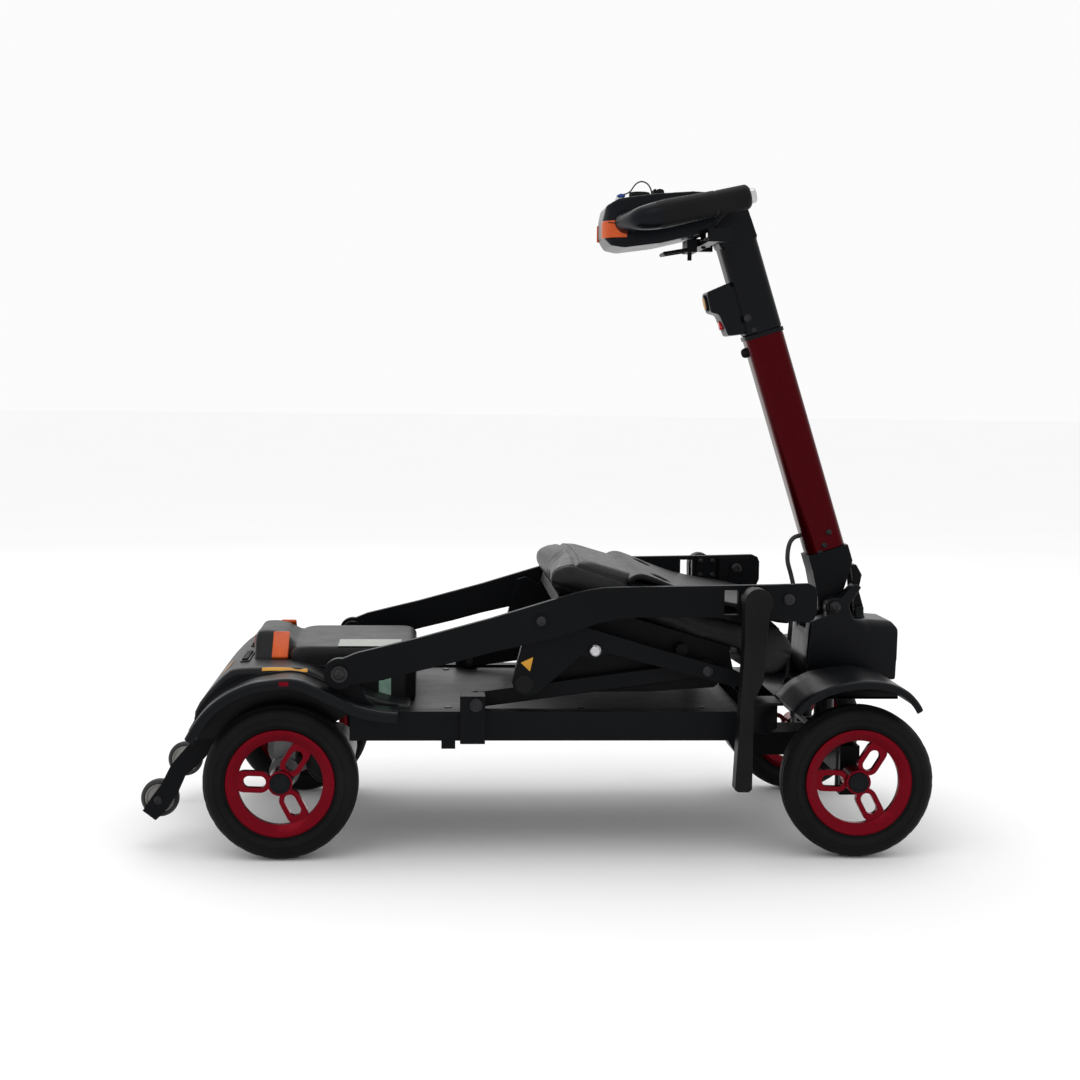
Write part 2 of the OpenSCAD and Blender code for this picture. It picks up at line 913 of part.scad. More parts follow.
// Lower and upper lines of the folded backrest
back_bottom = [[108, 364], [150, 351.5], [200, 336.5], [250, 322], [300, 307.5], [340, 296]];
back_middle = [[340, 308], [300, 317], [268, 322], [225, 332], [190, 350], [160, 366], [140, 372.5],
    [124, 374], [112, 371], [106, 366]];
back_top = [[106, 366.5], [110, 376], [124, 380.5], [142, 379.5], [162, 372.5], [192, 356], [226, 338],
    [268, 328], [300, 323], [342, 314]];

module back_cushion() {
    color(rubber)
        side(concat(back_bottom, back_middle), -172, 172);
}

module back_shell() {
    color(black) {
        side(concat(back_top, [for (p = back_middle) p + [0, 0.4]]), -176, 176);
        both_sides()
            box([262, 175, 319], [294, 201, 323]);
    }
}

pan_t = 14;

// Moves to the rear top edge of the seat, with X along its slope
module at_seat() {
    translate([seat_back_top[0], 0, seat_back_top[1]])
        rotate([0, -seat_slope, 0])
            children();
}

module seat_cushion() {
    color(rubber)
        at_seat()
            side([[-4, -3], [-18, -16], [-20, -30], [-12, -seat_t + 2], [-4, -seat_t], [258, -seat_t],
                [272, -seat_t - 24], [304, -seat_t - 28], [322, -seat_t - 18], [334, -38], [330, -18],
                [314, -6], [290, 0], [10, 0]], -seat_half_w, seat_half_w);
}

module seat_pan() {
    color(black) {
        at_seat()
            box([6, -165, -seat_t - pan_t], [245, 165, -seat_t - 0.3]);
        // the tray's side walls
        both_sides()
            side([[29, 330], [256, 264], [262, 238], [236, 216], [150, 210], [2, 210], [-14, 232], [4, 290]],
                162, 165);
        across([44, 309], 9.5, -seat_rail_in, seat_rail_in);
        across([190, 268.5], 8, -seat_rail_in, seat_rail_in);
    }
}

module left_seat_rail() {
    color(black)
        difference() {
            union() {
                side([[-14, 303], [-8, 322], [3, 325.5], [14, 322], [32, 309], [150, 273.8], [258, 243.6],
                    [266, 240], [269, 233], [266, 226], [258, 222.4], [90, 267], [78, 258], [56, 264],
                    [30, 240], [0, 214], [-17, 210], [-30, 217], [-33, 229]],
                    seat_rail_in, seat_rail_out);
                across([-17, 226], 12, seat_rail_out - 1, seat_rail_out + 1.5);
            }
            across(seat_pivot, seat_pin_r + pin_gap, seat_rail_in - 1, seat_rail_out + 1);
        }
}

module right_seat_rail() { mirror([0, 1, 0]) left_seat_rail(); }

module left_link() {
    color(black)
        difference() {
            side_shape(link_in, link_out) {
                bar_shape(link_pivot, link_front, 10);
                translate(link_pivot)
                    circle(12);
                translate(link_front)
                    circle(13);
            }
            across(link_pivot, link_pin_r + pin_gap, link_in - 1, link_out + 1);
        }
}

module right_link() { mirror([0, 1, 0]) left_link(); }

module left_armrest() {
    color(rubber)
        difference() {
            union() {
                across(arm_pivot, 16, boss_in, arm_in + 1);
                side_shape(arm_in, arm_out) {
                    translate(arm_pivot)
                        circle(18);
                    polygon([[258, 340], [259, 290], [253, 162], [250, 100],
                        [254, arm_pivot[1] - armrest_l], [268, arm_pivot[1] - armrest_l], [272, 101],
                        [272, 214], [284, 240], [290, 330]]);
                }
            }
            across(arm_pivot, arm_pin_r + pin_gap, boss_in - 1, 256.5);
        }
}

module right_armrest() { mirror([0, 1, 0]) left_armrest(); }

left_rail();
right_rail();
front_frame();
deck_plate();
rear_cover();
battery_housing();
battery_pack();
tail_lamp_lens();
side_reflectors();
transaxle();
drive_motor();
controller();
anti_tip_arms();
link_brackets();
front_cover();
chassis_bolts();
left_anti_tip_wheel();
right_anti_tip_wheel();
rear_left_tyre();
rear_left_rim();
rear_right_tyre();
rear_right_rim();
front_left_tyre();
front_left_rim();
front_right_tyre();
front_right_rim();
left_knuckle();
right_knuckle();
tie_rod();
steering_head();
fold_pin();
latch_pedal();
tiller_knuckle();
tiller_tube();
upper_casting();
control_box();
charge_cap();
power_button();
console();
console_reflectors();
handlebar();
grips();
throttle_lever();
speed_dial();
key();
transport_hook();
control_cable();
left_beam();
right_beam();
beam_plates();
back_shell();
back_cushion();
seat_pan();
seat_cushion();
left_seat_rail();
right_seat_rail();
left_link();
right_link();
left_armrest();
right_armrest();
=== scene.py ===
import json
import math

import bmesh
import bpy
import numpy as np
from mathutils import Matrix, Vector
from mathutils.bvhtree import BVHTree


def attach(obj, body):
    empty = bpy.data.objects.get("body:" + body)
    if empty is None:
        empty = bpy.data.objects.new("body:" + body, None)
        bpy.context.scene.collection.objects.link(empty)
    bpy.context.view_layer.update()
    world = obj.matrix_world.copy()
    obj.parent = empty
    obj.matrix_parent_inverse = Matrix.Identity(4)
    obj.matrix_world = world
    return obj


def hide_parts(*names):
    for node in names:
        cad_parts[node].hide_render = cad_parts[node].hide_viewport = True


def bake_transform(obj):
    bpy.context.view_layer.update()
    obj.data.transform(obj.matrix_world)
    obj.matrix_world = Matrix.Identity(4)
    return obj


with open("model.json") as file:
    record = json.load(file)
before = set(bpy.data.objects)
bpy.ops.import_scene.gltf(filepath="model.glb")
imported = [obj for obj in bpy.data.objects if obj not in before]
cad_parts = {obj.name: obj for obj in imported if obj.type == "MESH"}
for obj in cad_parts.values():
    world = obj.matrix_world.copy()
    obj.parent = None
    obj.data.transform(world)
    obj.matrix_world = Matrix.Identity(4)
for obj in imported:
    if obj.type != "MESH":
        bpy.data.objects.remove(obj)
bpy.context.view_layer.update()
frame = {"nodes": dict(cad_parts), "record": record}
NODES = frame["nodes"]
RECORD = frame["record"]
SCENE = bpy.context.scene
MM = 0.001
SIDES = (("left", 1), ("right", -1))


# ---- camera, light and floor ----

CAMERA_AT = (-0.1430, -2.5632, 0.6078)
YAW, PITCH, ROLL = 0.061, 0.082, 0.011
FOCAL_LENGTH = 61.43
FLOOR_Z = -0.0006
FLOOR_RINGS = (1.5, 5.0, 40.0)


def make_camera():
    forward = Vector((math.sin(YAW) * math.cos(PITCH), math.cos(YAW) * math.cos(PITCH), -math.sin(PITCH)))
    level = Vector((math.cos(YAW), -math.sin(YAW), 0))
    up = level.cross(forward)
    right = level * math.cos(ROLL) + up * math.sin(ROLL)
    top = -level * math.sin(ROLL) + up * math.cos(ROLL)
    data = bpy.data.cameras.new("camera")
    data.sensor_width = 36
    data.lens = FOCAL_LENGTH
    camera = bpy.data.objects.new("camera", data)
    SCENE.collection.objects.link(camera)
    turn = Matrix((right, top, -forward)).transposed().to_4x4()
    camera.matrix_world = Matrix.Translation(CAMERA_AT) @ turn
    SCENE.camera = camera


def area_light(name, place, target, size, watts, size_y=None):
    data = bpy.data.lights.new(name, "AREA")
    data.shape = "RECTANGLE"
    data.size = size
    data.size_y = size_y or size
    data.energy = watts
    light = bpy.data.objects.new(name, data)
    SCENE.collection.objects.link(light)
    light.location = place
    light.rotation_euler = (Vector(target) - Vector(place)).to_track_quat("-Z", "Y").to_euler()


def make_stage():
    """A wide, pale floor under a plain white studio."""
    floor = bpy.data.meshes.new("floor")
    n = 96
    verts, faces = [(0, 0, FLOOR_Z)], []
    for i, r in enumerate(FLOOR_RINGS):
        for k in range(n):
            a = 2 * math.pi * k / n
            verts.append((r * math.cos(a), r * math.sin(a), FLOOR_Z))
            b, c = 1 + i * n + k, 1 + i * n + (k + 1) % n
            faces.append((0, b, c) if i == 0 else (b - n, b, c, c - n))
    floor.from_pydata(verts, [], faces)
    obj = bpy.data.objects.new("floor", floor)
    SCENE.collection.objects.link(obj)
    floor.materials.append(painted("floor_paint", (0.965,) * 3, (0.975,) * 3, 0.9, mottle=1.5, grain=60,
                                   bump=0.01, specular=0.0))
    world = bpy.data.worlds.new("studio")
    world.use_nodes = True
    colour, strength = world.node_tree.nodes["Background"].inputs[:2]
    colour.default_value = (1, 1, 1, 1)
    strength.default_value = 0.97
    SCENE.world = world
    area_light("key", (-1.6, -2.6, 3.2), (0, 0, 0.35), 2.2, 12)
    area_light("top", (0.1, 0.5, 3.4), (0, 0, 0.2), 2.6, 16, 2.0)
    area_light("back", (-0.8, 3.2, 2.4), (0, 0, 0.4), 2.2, 14)
    SCENE.view_settings.view_transform = "Standard"


# ---- materials ----

class Graph:
    """A small helper that adds and joins shader nodes."""

    def __init__(self, name):
        self.material = bpy.data.materials.new(name)
        self.material.use_nodes = True
        self.tree = self.material.node_tree
        self.tree.nodes.clear()
        self.out = self.add("OutputMaterial")
        self.shader = self.add("BsdfPrincipled")
        self.join(self.shader, 0, self.out, 0)
        self.place = self.add("TexCoord")

    def add(self, kind, **values):
        node = self.tree.nodes.new("ShaderNode" + kind)
        for key, value in values.items():
            setattr(node, key, value)
        return node

    def join(self, a, out, b, into):
        self.tree.links.new(a.outputs[out], b.inputs[into])

    def noise(self, scale, detail=3.0):
        node = self.add("TexNoise")
        node.inputs["Scale"].default_value = scale
        node.inputs["Detail"].default_value = detail
        self.join(self.place, "Object", node, "Vector")
        return node

    def cells(self, scale, feature="DISTANCE_TO_EDGE"):
        node = self.add("TexVoronoi", feature=feature)
        node.inputs["Scale"].default_value = scale
        self.join(self.place, "Object", node, "Vector")
        return node

    def ramp(self, source, out, stops, colours=True):
        node = self.add("ValToRGB")
        ends = node.color_ramp.elements
        while len(ends) < len(stops):
            ends.new(0.5)
        for element, (at, value) in zip(ends, stops):
            element.position = at
            element.color = (*value, 1) if colours else (value, value, value, 1)
        self.join(source, out, node, 0)
        return node

    def bump(self, source, out, strength, distance, below=None):
        node = self.add("Bump")
        node.inputs["Strength"].default_value = strength
        node.inputs["Distance"].default_value = distance
        self.join(source, out, node, "Height")
        if below:
            self.join(below, 0, node, "Normal")
        return node


def painted(name, dark, light, rough, metal=0.0, mottle=8.0, grain=900.0, bump=0.1, depth=0.0002,
            spread=0.07, specular=0.4, coat=0.0, coat_rough=0.1, pattern="noise"):
    """A surface mottled from dark to light, with uneven gloss and a fine grain or pattern in its bump."""
    g = Graph(name)
    s = g.shader
    tone = g.noise(mottle, 5.0)
    colour = g.ramp(tone, 0, [(0.3, dark), (0.7, light)])
    g.join(colour, 0, s, "Base Color")
    wear = g.noise(mottle * 7, 6.0)
    gloss = g.ramp(wear, 0, [(0.3, rough - spread), (0.7, rough + spread)], False)
    g.join(gloss, 0, s, "Roughness")
    if pattern == "leather":
        soft = g.noise(38, 4.0)
        creases = g.bump(soft, 0, 0.25, 0.0012)
        cell = g.cells(620)
        pore = g.ramp(cell, 0, [(0.0, 0.0), (0.16, 1.0)], False)
        last = g.bump(pore, 0, bump, depth, creases)
    elif pattern == "prism":
        cell = g.cells(grain, "F1")
        last = g.bump(cell, 0, bump, depth)
    elif pattern == "stipple":
        first = g.bump(g.noise(grain, 2.0), 0, bump, depth)
        last = g.bump(g.noise(grain / 6, 3.0), 0, bump * 0.4, depth * 2, first)
    else:
        last = g.bump(g.noise(grain, 3.0), 0, bump, depth)
    g.join(last, 0, s, "Normal")
    s.inputs["Metallic"].default_value = metal
    s.inputs["Specular IOR Level"].default_value = specular
    s.inputs["Coat Weight"].default_value = coat
    s.inputs["Coat Roughness"].default_value = coat_rough
    return g.material


make_camera()

PAINT = painted("frame_paint", (0.0022, 0.0025, 0.0032), (0.0038, 0.0043, 0.0053), 0.38, mottle=5,
                grain=1300, bump=0.12, depth=0.00012, spread=0.03, specular=0.07)
COVER = painted("cover_plastic", (0.0024, 0.0028, 0.0038), (0.0042, 0.0047, 0.0062), 0.3, mottle=6,
                grain=1800, bump=0.05, depth=0.0001, spread=0.025, specular=0.1)
# a lighter, glossier copy of the cover plastic for the upward-facing mouldings (rear cover top, housing, back
# shell): its extra lightness is painted light from above
COVER_LIT_TOP = painted("cover_plastic_lit_top", (0.0045, 0.0048, 0.0056), (0.007, 0.0074, 0.0086), 0.4, mottle=5, grain=1500,
              bump=0.14, depth=0.00013, spread=0.03, specular=0.13)
CONSOLE = painted("console_plastic", (0.0022, 0.0028, 0.0046), (0.0042, 0.005, 0.0076), 0.24, mottle=9,
                  grain=2000, bump=0.04, depth=0.00008, spread=0.02, specular=0.1)
DECK = painted("deck_paint", (0.009, 0.0093, 0.0098), (0.014, 0.0144, 0.0152), 0.42, metal=0.15, mottle=5,
               grain=700, bump=0.3, spread=0.03, specular=0.2, pattern="stipple")
RUBBER = painted("tyre_rubber", (0.003, 0.0031, 0.0032), (0.006, 0.0062, 0.0062), 0.55, mottle=14,
                 grain=1500, bump=0.25, depth=0.00015, spread=0.04, specular=0.09, pattern="stipple")
GRIP = painted("grip_rubber", (0.003, 0.0032, 0.0033), (0.006, 0.0062, 0.0063), 0.46, mottle=18,
               grain=2400, bump=0.3, depth=0.00012, spread=0.04, specular=0.1, pattern="stipple")
RED = painted("red_paint", (0.04, 0.0002, 0.0014), (0.066, 0.0004, 0.0028), 0.28, metal=0.7, mottle=900,
              grain=2600, bump=0.05, depth=0.00006, spread=0.04, specular=0.06, coat=0.05,
              coat_rough=0.05)
RIM_RED = painted("rim_paint", (0.1, 0.0003, 0.004), (0.16, 0.0008, 0.008), 0.25, metal=0.75, mottle=700,
                  grain=2600, bump=0.05, depth=0.00006, spread=0.04, specular=0.08, coat=0.06,
                  coat_rough=0.05)
LENS = painted("lamp_lens", (0.2, 0.0015, 0.002), (0.32, 0.004, 0.004), 0.14, mottle=25, grain=330,
               bump=0.5, depth=0.0005, spread=0.03, coat=0.8, coat_rough=0.05, pattern="prism")
ORANGE = painted("reflector_orange", (0.44, 0.05, 0.002), (0.58, 0.085, 0.005), 0.25, mottle=40,
                 grain=420, bump=0.45, depth=0.0004, spread=0.05, specular=0.25, coat=0.15,
                 coat_rough=0.08, pattern="prism")
ALLOY = painted("cast_alloy", (0.12, 0.12, 0.124), (0.22, 0.22, 0.225), 0.42, metal=0.9, mottle=30,
                grain=500, bump=0.4, depth=0.0003, pattern="stipple")
MOTOR = painted("motor_paint", (0.006, 0.0063, 0.0066), (0.012, 0.0125, 0.013), 0.38, metal=0.2,
                mottle=10, bump=0.15, spread=0.04, specular=0.25)
STEEL = painted("bright_steel", (0.42, 0.42, 0.43), (0.62, 0.62, 0.63), 0.22, metal=1.0, mottle=60,
                grain=1200, bump=0.06, spread=0.08)
BLACK_STEEL = painted("black_steel", (0.012, 0.012, 0.0135), (0.026, 0.026, 0.028), 0.32, metal=0.6,
                      mottle=80, grain=1500, spread=0.06, specular=0.3)
ROLLER = painted("roller_rubber", (0.012, 0.012, 0.012), (0.022, 0.022, 0.022), 0.6, mottle=30,
                 grain=1500, bump=0.2)
HUB = painted("roller_hub", (0.22, 0.215, 0.2), (0.34, 0.33, 0.31), 0.45, mottle=40, grain=800, bump=0.15)
LEATHER = painted("leather", (0.0045, 0.0047, 0.0047), (0.009, 0.0093, 0.0092), 0.36, mottle=16, bump=0.4,
                  depth=0.0003, spread=0.05, specular=0.2, pattern="leather")
THREAD = painted("seam_thread", (0.02, 0.02, 0.021), (0.04, 0.04, 0.042), 0.6, mottle=300, grain=3000,
                 bump=0.4)
BUTTON = painted("button_red", (0.5, 0.008, 0.012), (0.62, 0.015, 0.02), 0.25, mottle=60, grain=1500,
                 bump=0.05, coat=0.5)
BLUE = painted("key_blue", (0.008, 0.04, 0.2), (0.015, 0.07, 0.32), 0.32, mottle=60, grain=1500,
               bump=0.08)
CREAM = painted("sticker_cream", (0.3, 0.315, 0.29), (0.38, 0.39, 0.36), 0.5, mottle=30, bump=0.05)
AMBER = painted("sticker_amber", (0.48, 0.22, 0.008), (0.58, 0.28, 0.016), 0.45, mottle=40, bump=0.05)
TAN = painted("sticker_tan", (0.26, 0.13, 0.045), (0.36, 0.19, 0.07), 0.5, mottle=40, bump=0.05)
GREEN = painted("sticker_green", (0.16, 0.3, 0.23), (0.27, 0.42, 0.34), 0.5, mottle=90, bump=0.05)
BATTERY = painted("battery_case", (0.02, 0.022, 0.025), (0.035, 0.038, 0.042), 0.5, mottle=12)
BRAID = painted("cable_braid", (0.008, 0.008, 0.008), (0.035, 0.035, 0.035), 0.55, mottle=420, bump=0.7,
                depth=0.0005, pattern="prism")
CORD = painted("lanyard", (0.01, 0.01, 0.011), (0.02, 0.02, 0.022), 0.5, mottle=300, grain=2500, bump=0.4)

make_stage()

SLOTS = {"frame_black": PAINT, "cover_black": COVER, "deck_grey": DECK, "battery_case": BATTERY,
         "lens_red": LENS, "reflector_orange": ORANGE, "alloy": ALLOY, "motor_black": MOTOR,
         "fastener_steel": BLACK_STEEL, "roller": ROLLER, "tyre": RUBBER, "red_metallic": RED,
         "button_red": BUTTON, "rubber_black": GRIP, "key_blue": BLUE, "leather_black": LEATHER}
SLOT_OF = {s["node"]: s["material_slot"] for s in RECORD["subparts"]}


# ---- building helpers ----

def link(name, mesh, material):
    obj = bpy.data.objects.new(name, mesh)
    SCENE.collection.objects.link(obj)
    mesh.materials.clear()
    mesh.materials.append(material)
    return obj


def final_mesh(obj):
    """Applies every modifier of obj to its mesh."""
    bpy.context.view_layer.update()
    shown = obj.evaluated_get(bpy.context.evaluated_depsgraph_get())
    mesh = bpy.data.meshes.new_from_object(shown)
    old = obj.data
    obj.modifiers.clear()
    obj.data = mesh
    bpy.data.meshes.remove(old)
    return obj


def smooth(obj, angle=30):
    mesh = obj.data
    mesh.polygons.foreach_set("use_smooth", [True] * len(mesh.polygons))
    if angle < 180:
        mesh.set_sharp_from_angle(angle=math.radians(angle))
    mesh.update()
    return obj


def round_edges(obj, width, segments=2, angle=32):
    bevel = obj.modifiers.new("edges", "BEVEL")
    bevel.width = width
    bevel.segments = segments
    bevel.limit_method = "ANGLE"
    bevel.angle_limit = math.radians(angle)
    bevel.harden_normals = False
    return final_mesh(obj)


def finish_piece(obj, body):
    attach(obj, body)
    return obj


def mesh_of(name, bm, material):
    mesh = bpy.data.meshes.new(name)
    bmesh.ops.recalc_face_normals(bm, faces=bm.faces)
    bm.to_mesh(mesh)
    bm.free()
    return link(name, mesh, material)


def finish_mesh(name, bm, material, body, width=0, segments=2, angle=35):
    """A finished piece made from bm, with its edges rounded to width (metres)."""
    obj = mesh_of(name, bm, material)
    if width:
        round_edges(obj, width, segments)
    return finish_piece(smooth(obj, angle), body)


def block(bm, low, high):
    """A closed block between two outlines with equally many points (metres)."""
    low = [bm.verts.new(p) for p in low]
    high = [bm.verts.new(p) for p in high]
    bm.faces.new(low)
    bm.faces.new(reversed(high))
    n = len(low)
    for i in range(n):
        bm.faces.new((low[i], high[i], high[(i + 1) % n], low[(i + 1) % n]))


def prism(bm, points, y0, y1):
    """A side outline in [x, z] millimetres, from y0 to y1."""
    block(bm, *([(x * MM, y * MM, z * MM) for x, z in points] for y in (y0, y1)))


def front_prism(bm, points, x0, x1):
    """A front outline in [y, z] millimetres, from x0 to x1."""
    block(bm, *([(x * MM, y * MM, z * MM) for y, z in points] for x in (x0, x1)))


def lathe(bm, profile, centre, axis, n=48, closed=True):
    """Turns [radius, along] millimetres round an axis through centre (metres)."""
    axis = Vector(axis).normalized()
    side = axis.orthogonal().normalized()
    other = axis.cross(side)
    rings = []
    for r, w in profile:
        ring = []
        for k in range(n):
            a = 2 * math.pi * k / n
            p = Vector(centre) + axis * (w * MM) + (side * math.cos(a) + other * math.sin(a)) * (r * MM)
            ring.append(bm.verts.new(p))
        rings.append(ring)
    pairs = list(zip(rings, rings[1:]))
    if closed:
        pairs.append((rings[-1], rings[0]))
    for low, high in pairs:
        for k in range(n):
            bm.faces.new((low[k], low[(k + 1) % n], high[(k + 1) % n], high[k]))
    if not closed:
        bm.faces.new(rings[0])
        bm.faces.new(reversed(rings[-1]))
    return rings


def turned(name, profile, centre, axis, material, body, n=48, angle=40):
    """A turned piece, as lathe makes it."""
    bm = bmesh.new()
    lathe(bm, profile, centre, axis, n)
    return finish_mesh(name, bm, material, body, angle=angle)


def spline(points, step):
    """Points on a smooth curve through the given ones, about step apart."""
    p = [Vector(q) for q in points]
    p = [2 * p[0] - p[1], *p, 2 * p[-1] - p[-2]]
    out = []
    for i in range(1, len(p) - 2):
        a, b, c, d = p[i - 1:i + 3]
        count = max(1, round((c - b).length / step))
        for k in range(count):
            t = k / count
            out.append(0.5 * (2 * b + (c - a) * t + (2 * a - 5 * b + 4 * c - d) * t * t
                              + (3 * b - a - 3 * c + d) * t ** 3))
    return out + [p[-2]]


def tube(name, path, radius, material, sides=16):
    """A round tube along path (metres); radius is a number or a function of the share of the way."""
    bm = bmesh.new()
    rings = []
    normal = None
    for i, p in enumerate(path):
        t = (path[min(i + 1, len(path) - 1)] - path[max(i - 1, 0)]).normalized()
        normal = t.orthogonal() if normal is None else normal - t * normal.dot(t)
        normal.normalize()
        other = t.cross(normal)
        r = radius(i / (len(path) - 1)) if callable(radius) else radius
        rings.append([bm.verts.new(p + normal * (r * math.cos(2 * math.pi * k / sides))
                                   + other * (r * math.sin(2 * math.pi * k / sides)))
                      for k in range(sides)])
    for low, high in zip(rings, rings[1:]):
        for k in range(sides):
            bm.faces.new((low[k], low[(k + 1) % sides], high[(k + 1) % sides], high[k]))
    bm.faces.new(rings[0])
    bm.faces.new(reversed(rings[-1]))
    return smooth(mesh_of(name, bm, material), 50)


def keep_node(node, material=None, width=0.0011, segments=2):
    """The CAD node stays, with its points joined, its edges rounded and a better material."""
    obj = NODES[node]
    mesh = obj.data
    if "custom_normal" in mesh.attributes:
        mesh.attributes.remove(mesh.attributes["custom_normal"])
    mesh.materials.clear()
    mesh.materials.append(material or SLOTS[SLOT_OF[node]])
    mesh.polygons.foreach_set("material_index", [0] * len(mesh.polygons))
    mesh.polygons.foreach_set("use_smooth", [True] * len(mesh.polygons))
    weld = obj.modifiers.new("weld", "WELD")
    weld.merge_threshold = 2e-6
    flat = obj.modifiers.new("flat", "DECIMATE")
    flat.decimate_type = "DISSOLVE"
    flat.angle_limit = math.radians(0.4)
    bevel = obj.modifiers.new("edges", "BEVEL")
    bevel.width = width
    bevel.segments = segments
    bevel.limit_method = "ANGLE"
    bevel.angle_limit = math.radians(32)
    bevel.harden_normals = True


def soften(name, sources, voxel, rounds, material, body, cutters=None, extra=None):
    """A closed form remeshed from CAD nodes (and extra outlines), with soft, moulded edges."""
    bm = bmesh.new()
    for node in sources:
        bm.from_mesh(NODES[node].data)
    bmesh.ops.remove_doubles(bm, verts=bm.verts, dist=2e-6)
    if extra:
        extra(bm)
    obj = mesh_of(name, bm, material)
    remesh = obj.modifiers.new("remesh", "REMESH")
    remesh.mode = "VOXEL"
    remesh.voxel_size = voxel
    if cutters:
        final_mesh(obj)
        for cutter in cutters:
            cut = obj.modifiers.new("cut", "BOOLEAN")
            cut.operation = "DIFFERENCE"
            cut.object = cutter
            cut.solver = "EXACT"
        final_mesh(obj)
        for cutter in cutters:
            bpy.data.objects.remove(cutter)
        again = obj.modifiers.new("again", "REMESH")
        again.mode = "VOXEL"
        again.voxel_size = voxel
    ease = obj.modifiers.new("ease", "SMOOTH")
    ease.iterations = rounds
    final_mesh(obj)
    obj.data.materials.clear()
    obj.data.materials.append(material)
    smooth(obj, 180)
    finish_piece(obj, body)
    if sources:
        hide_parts(*sources)
    return obj


def screw(name, centre, axis, r, h, body, material=None, socket="hex"):
    """A button-head screw with a driver socket, standing on a face at centre (metres); r and h in mm."""
    bm = bmesh.new()
    axis = Vector(axis).normalized()
    dome = [(r, 0), (r, h * 0.35), (r * 0.93, h * 0.62), (r * 0.78, h * 0.86), (r * 0.56, h)]
    lathe(bm, [*dome, (r * 0.5, h), (r * 0.48, h * 0.4), (0.05, h * 0.34), (0.05, 0)], centre, axis,
          36 if socket == "round" else 24)
    if socket == "hex":
        for v in bm.verts:
            d = v.co - Vector(centre)
            along = axis * d.dot(axis)
            out = d - along
            if 0.4 * r * MM < out.length < 0.53 * r * MM:
                side = axis.orthogonal().normalized()
                a = math.atan2(out.dot(axis.cross(side)), out.dot(side)) % (math.pi / 3) - math.pi / 6
                v.co = Vector(centre) + along + out * (math.cos(math.pi / 6) / math.cos(a) * 1.02)
    return finish_mesh(name, bm, material or BLACK_STEEL, body)


def plate(name, corners, thick, material, body, round_by=0.002):
    """A thin sticker or plate on its four corners (metres), rounded at the corners."""
    bm = bmesh.new()
    bm.faces.new([bm.verts.new(c) for c in corners])
    bm.normal_update()
    obj = mesh_of(name, bm, material)
    bevel = obj.modifiers.new("corners", "BEVEL")
    bevel.affect = "VERTICES"
    bevel.width = round_by
    bevel.segments = 4
    solid = obj.modifiers.new("solid", "SOLIDIFY")
    solid.thickness = thick
    solid.offset = 1
    final_mesh(obj)
    smooth(obj, 30)
    return finish_piece(obj, body)


# ---- wheels ----

AXLE_Z = 0.1
WHEEL_Y = 0.205
WHEELS = (("rear", -0.330), ("front", 0.420))
ANTI_TIP_AT = (-0.495, 0.129, 0.062)
ANTI_TIP_BOLT_Y = 0.147
TREAD_STEPS = 120
GROOVE_EVERY = 5


def tyre_profile():
    """Half section of the solid tyre: [radius, along], outer side positive."""
    tread = [(100, 0), (100, 4.4), (98.6, 4.9), (98.6, 6.6), (99.8, 7.1), (99.3, 11.4), (97.6, 12.0),
             (97.4, 13.4), (98.6, 14), (96.4, 18), (93.4, 21.2), (89.4, 23.2), (84.6, 23.8), (84.2, 23.2),
             (82.6, 23.2), (82.2, 23.6), (77, 22.2), (73.4, 20.2), (72.8, 18.8), (71, 18.6), (70.4, 17),
             (69.5, 16)]
    return tread + [(r, -w) for r, w in reversed(tread[1:])]


def make_wheel(side, s, end, x):
    body = f"{end}_{side}_wheel"
    centre = Vector((x, s * WHEEL_Y, AXLE_Z))
    axis = Vector((0, s, 0))
    bm = bmesh.new()
    rings = lathe(bm, tyre_profile(), centre, axis, TREAD_STEPS)
    for ring in rings:
        for k, v in enumerate(ring):
            d = v.co - centre
            along = d.dot(axis)
            out = d - axis * along
            # cross grooves at the shoulders
            if k % GROOVE_EVERY == 0 and out.length > 0.0957 and abs(along) > 0.0069:
                v.co -= out.normalized() * 0.0004
    tyre = finish_mesh(f"{body}_tread", bm, RUBBER, body, angle=38)
    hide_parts(f"{end}_{side}_tyre")
    keep_node(f"{end}_{side}_rim", RIM_RED, 0.0016, 3)
    # hub cap with a shallow dish
    turned(f"{body}_cap", [(0.1, 16), (0.1, 19.4), (5, 19.5), (9.5, 19.3), (10.2, 20.2), (12.6, 20.2),
                           (13.5, 19.2), (13.8, 17.2), (13.8, 16)], centre, axis, COVER, body)
    # bead ring where tyre meets rim
    turned(f"{body}_bead", [(68.2, 19.2), (68.8, 20.6), (69.6, 20.6), (70.2, 19.4), (69.4, 18.4)], centre,
           axis, RIM_RED, body, 96, 60)


def mirrored(half):
    """A turned section whose other half mirrors [radius, along] of the given one."""
    return half + [(r, -w) for r, w in reversed(half)]


def make_anti_tip_wheel(side, s):
    """A small wheel with a black ring, a pale hub and a bolt through the arm outside it."""
    body = f"{side}_anti_tip"
    x, y, z = ANTI_TIP_AT
    centre = (x, s * y, z)
    axis = (0, s, 0)
    ring = [(25, 3), (24.6, 5.6), (23.4, 7.8), (21.4, 8.9), (20, 8.6), (19.2, 7)]
    disc = [(19.3, 6.6), (17.4, 6.8), (16.2, 4.2), (8.6, 3.6), (7.8, 6.8), (4.3, 7)]
    tread = turned(f"{body}_tread", mirrored(ring), centre, axis, ROLLER, body, 72)
    turned(f"{body}_hub", mirrored(disc), centre, axis, HUB, body, 60)
    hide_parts(f"{side}_anti_tip_wheel")
    screw(f"{body}_bolt", (x, s * ANTI_TIP_BOLT_Y, z), axis, 6, 3, "chassis")


for side, s in SIDES:
    for end, x in WHEELS:
        make_wheel(side, s, end, x)
    make_anti_tip_wheel(side, s)


# ---- rear cover, housing and front cover ----

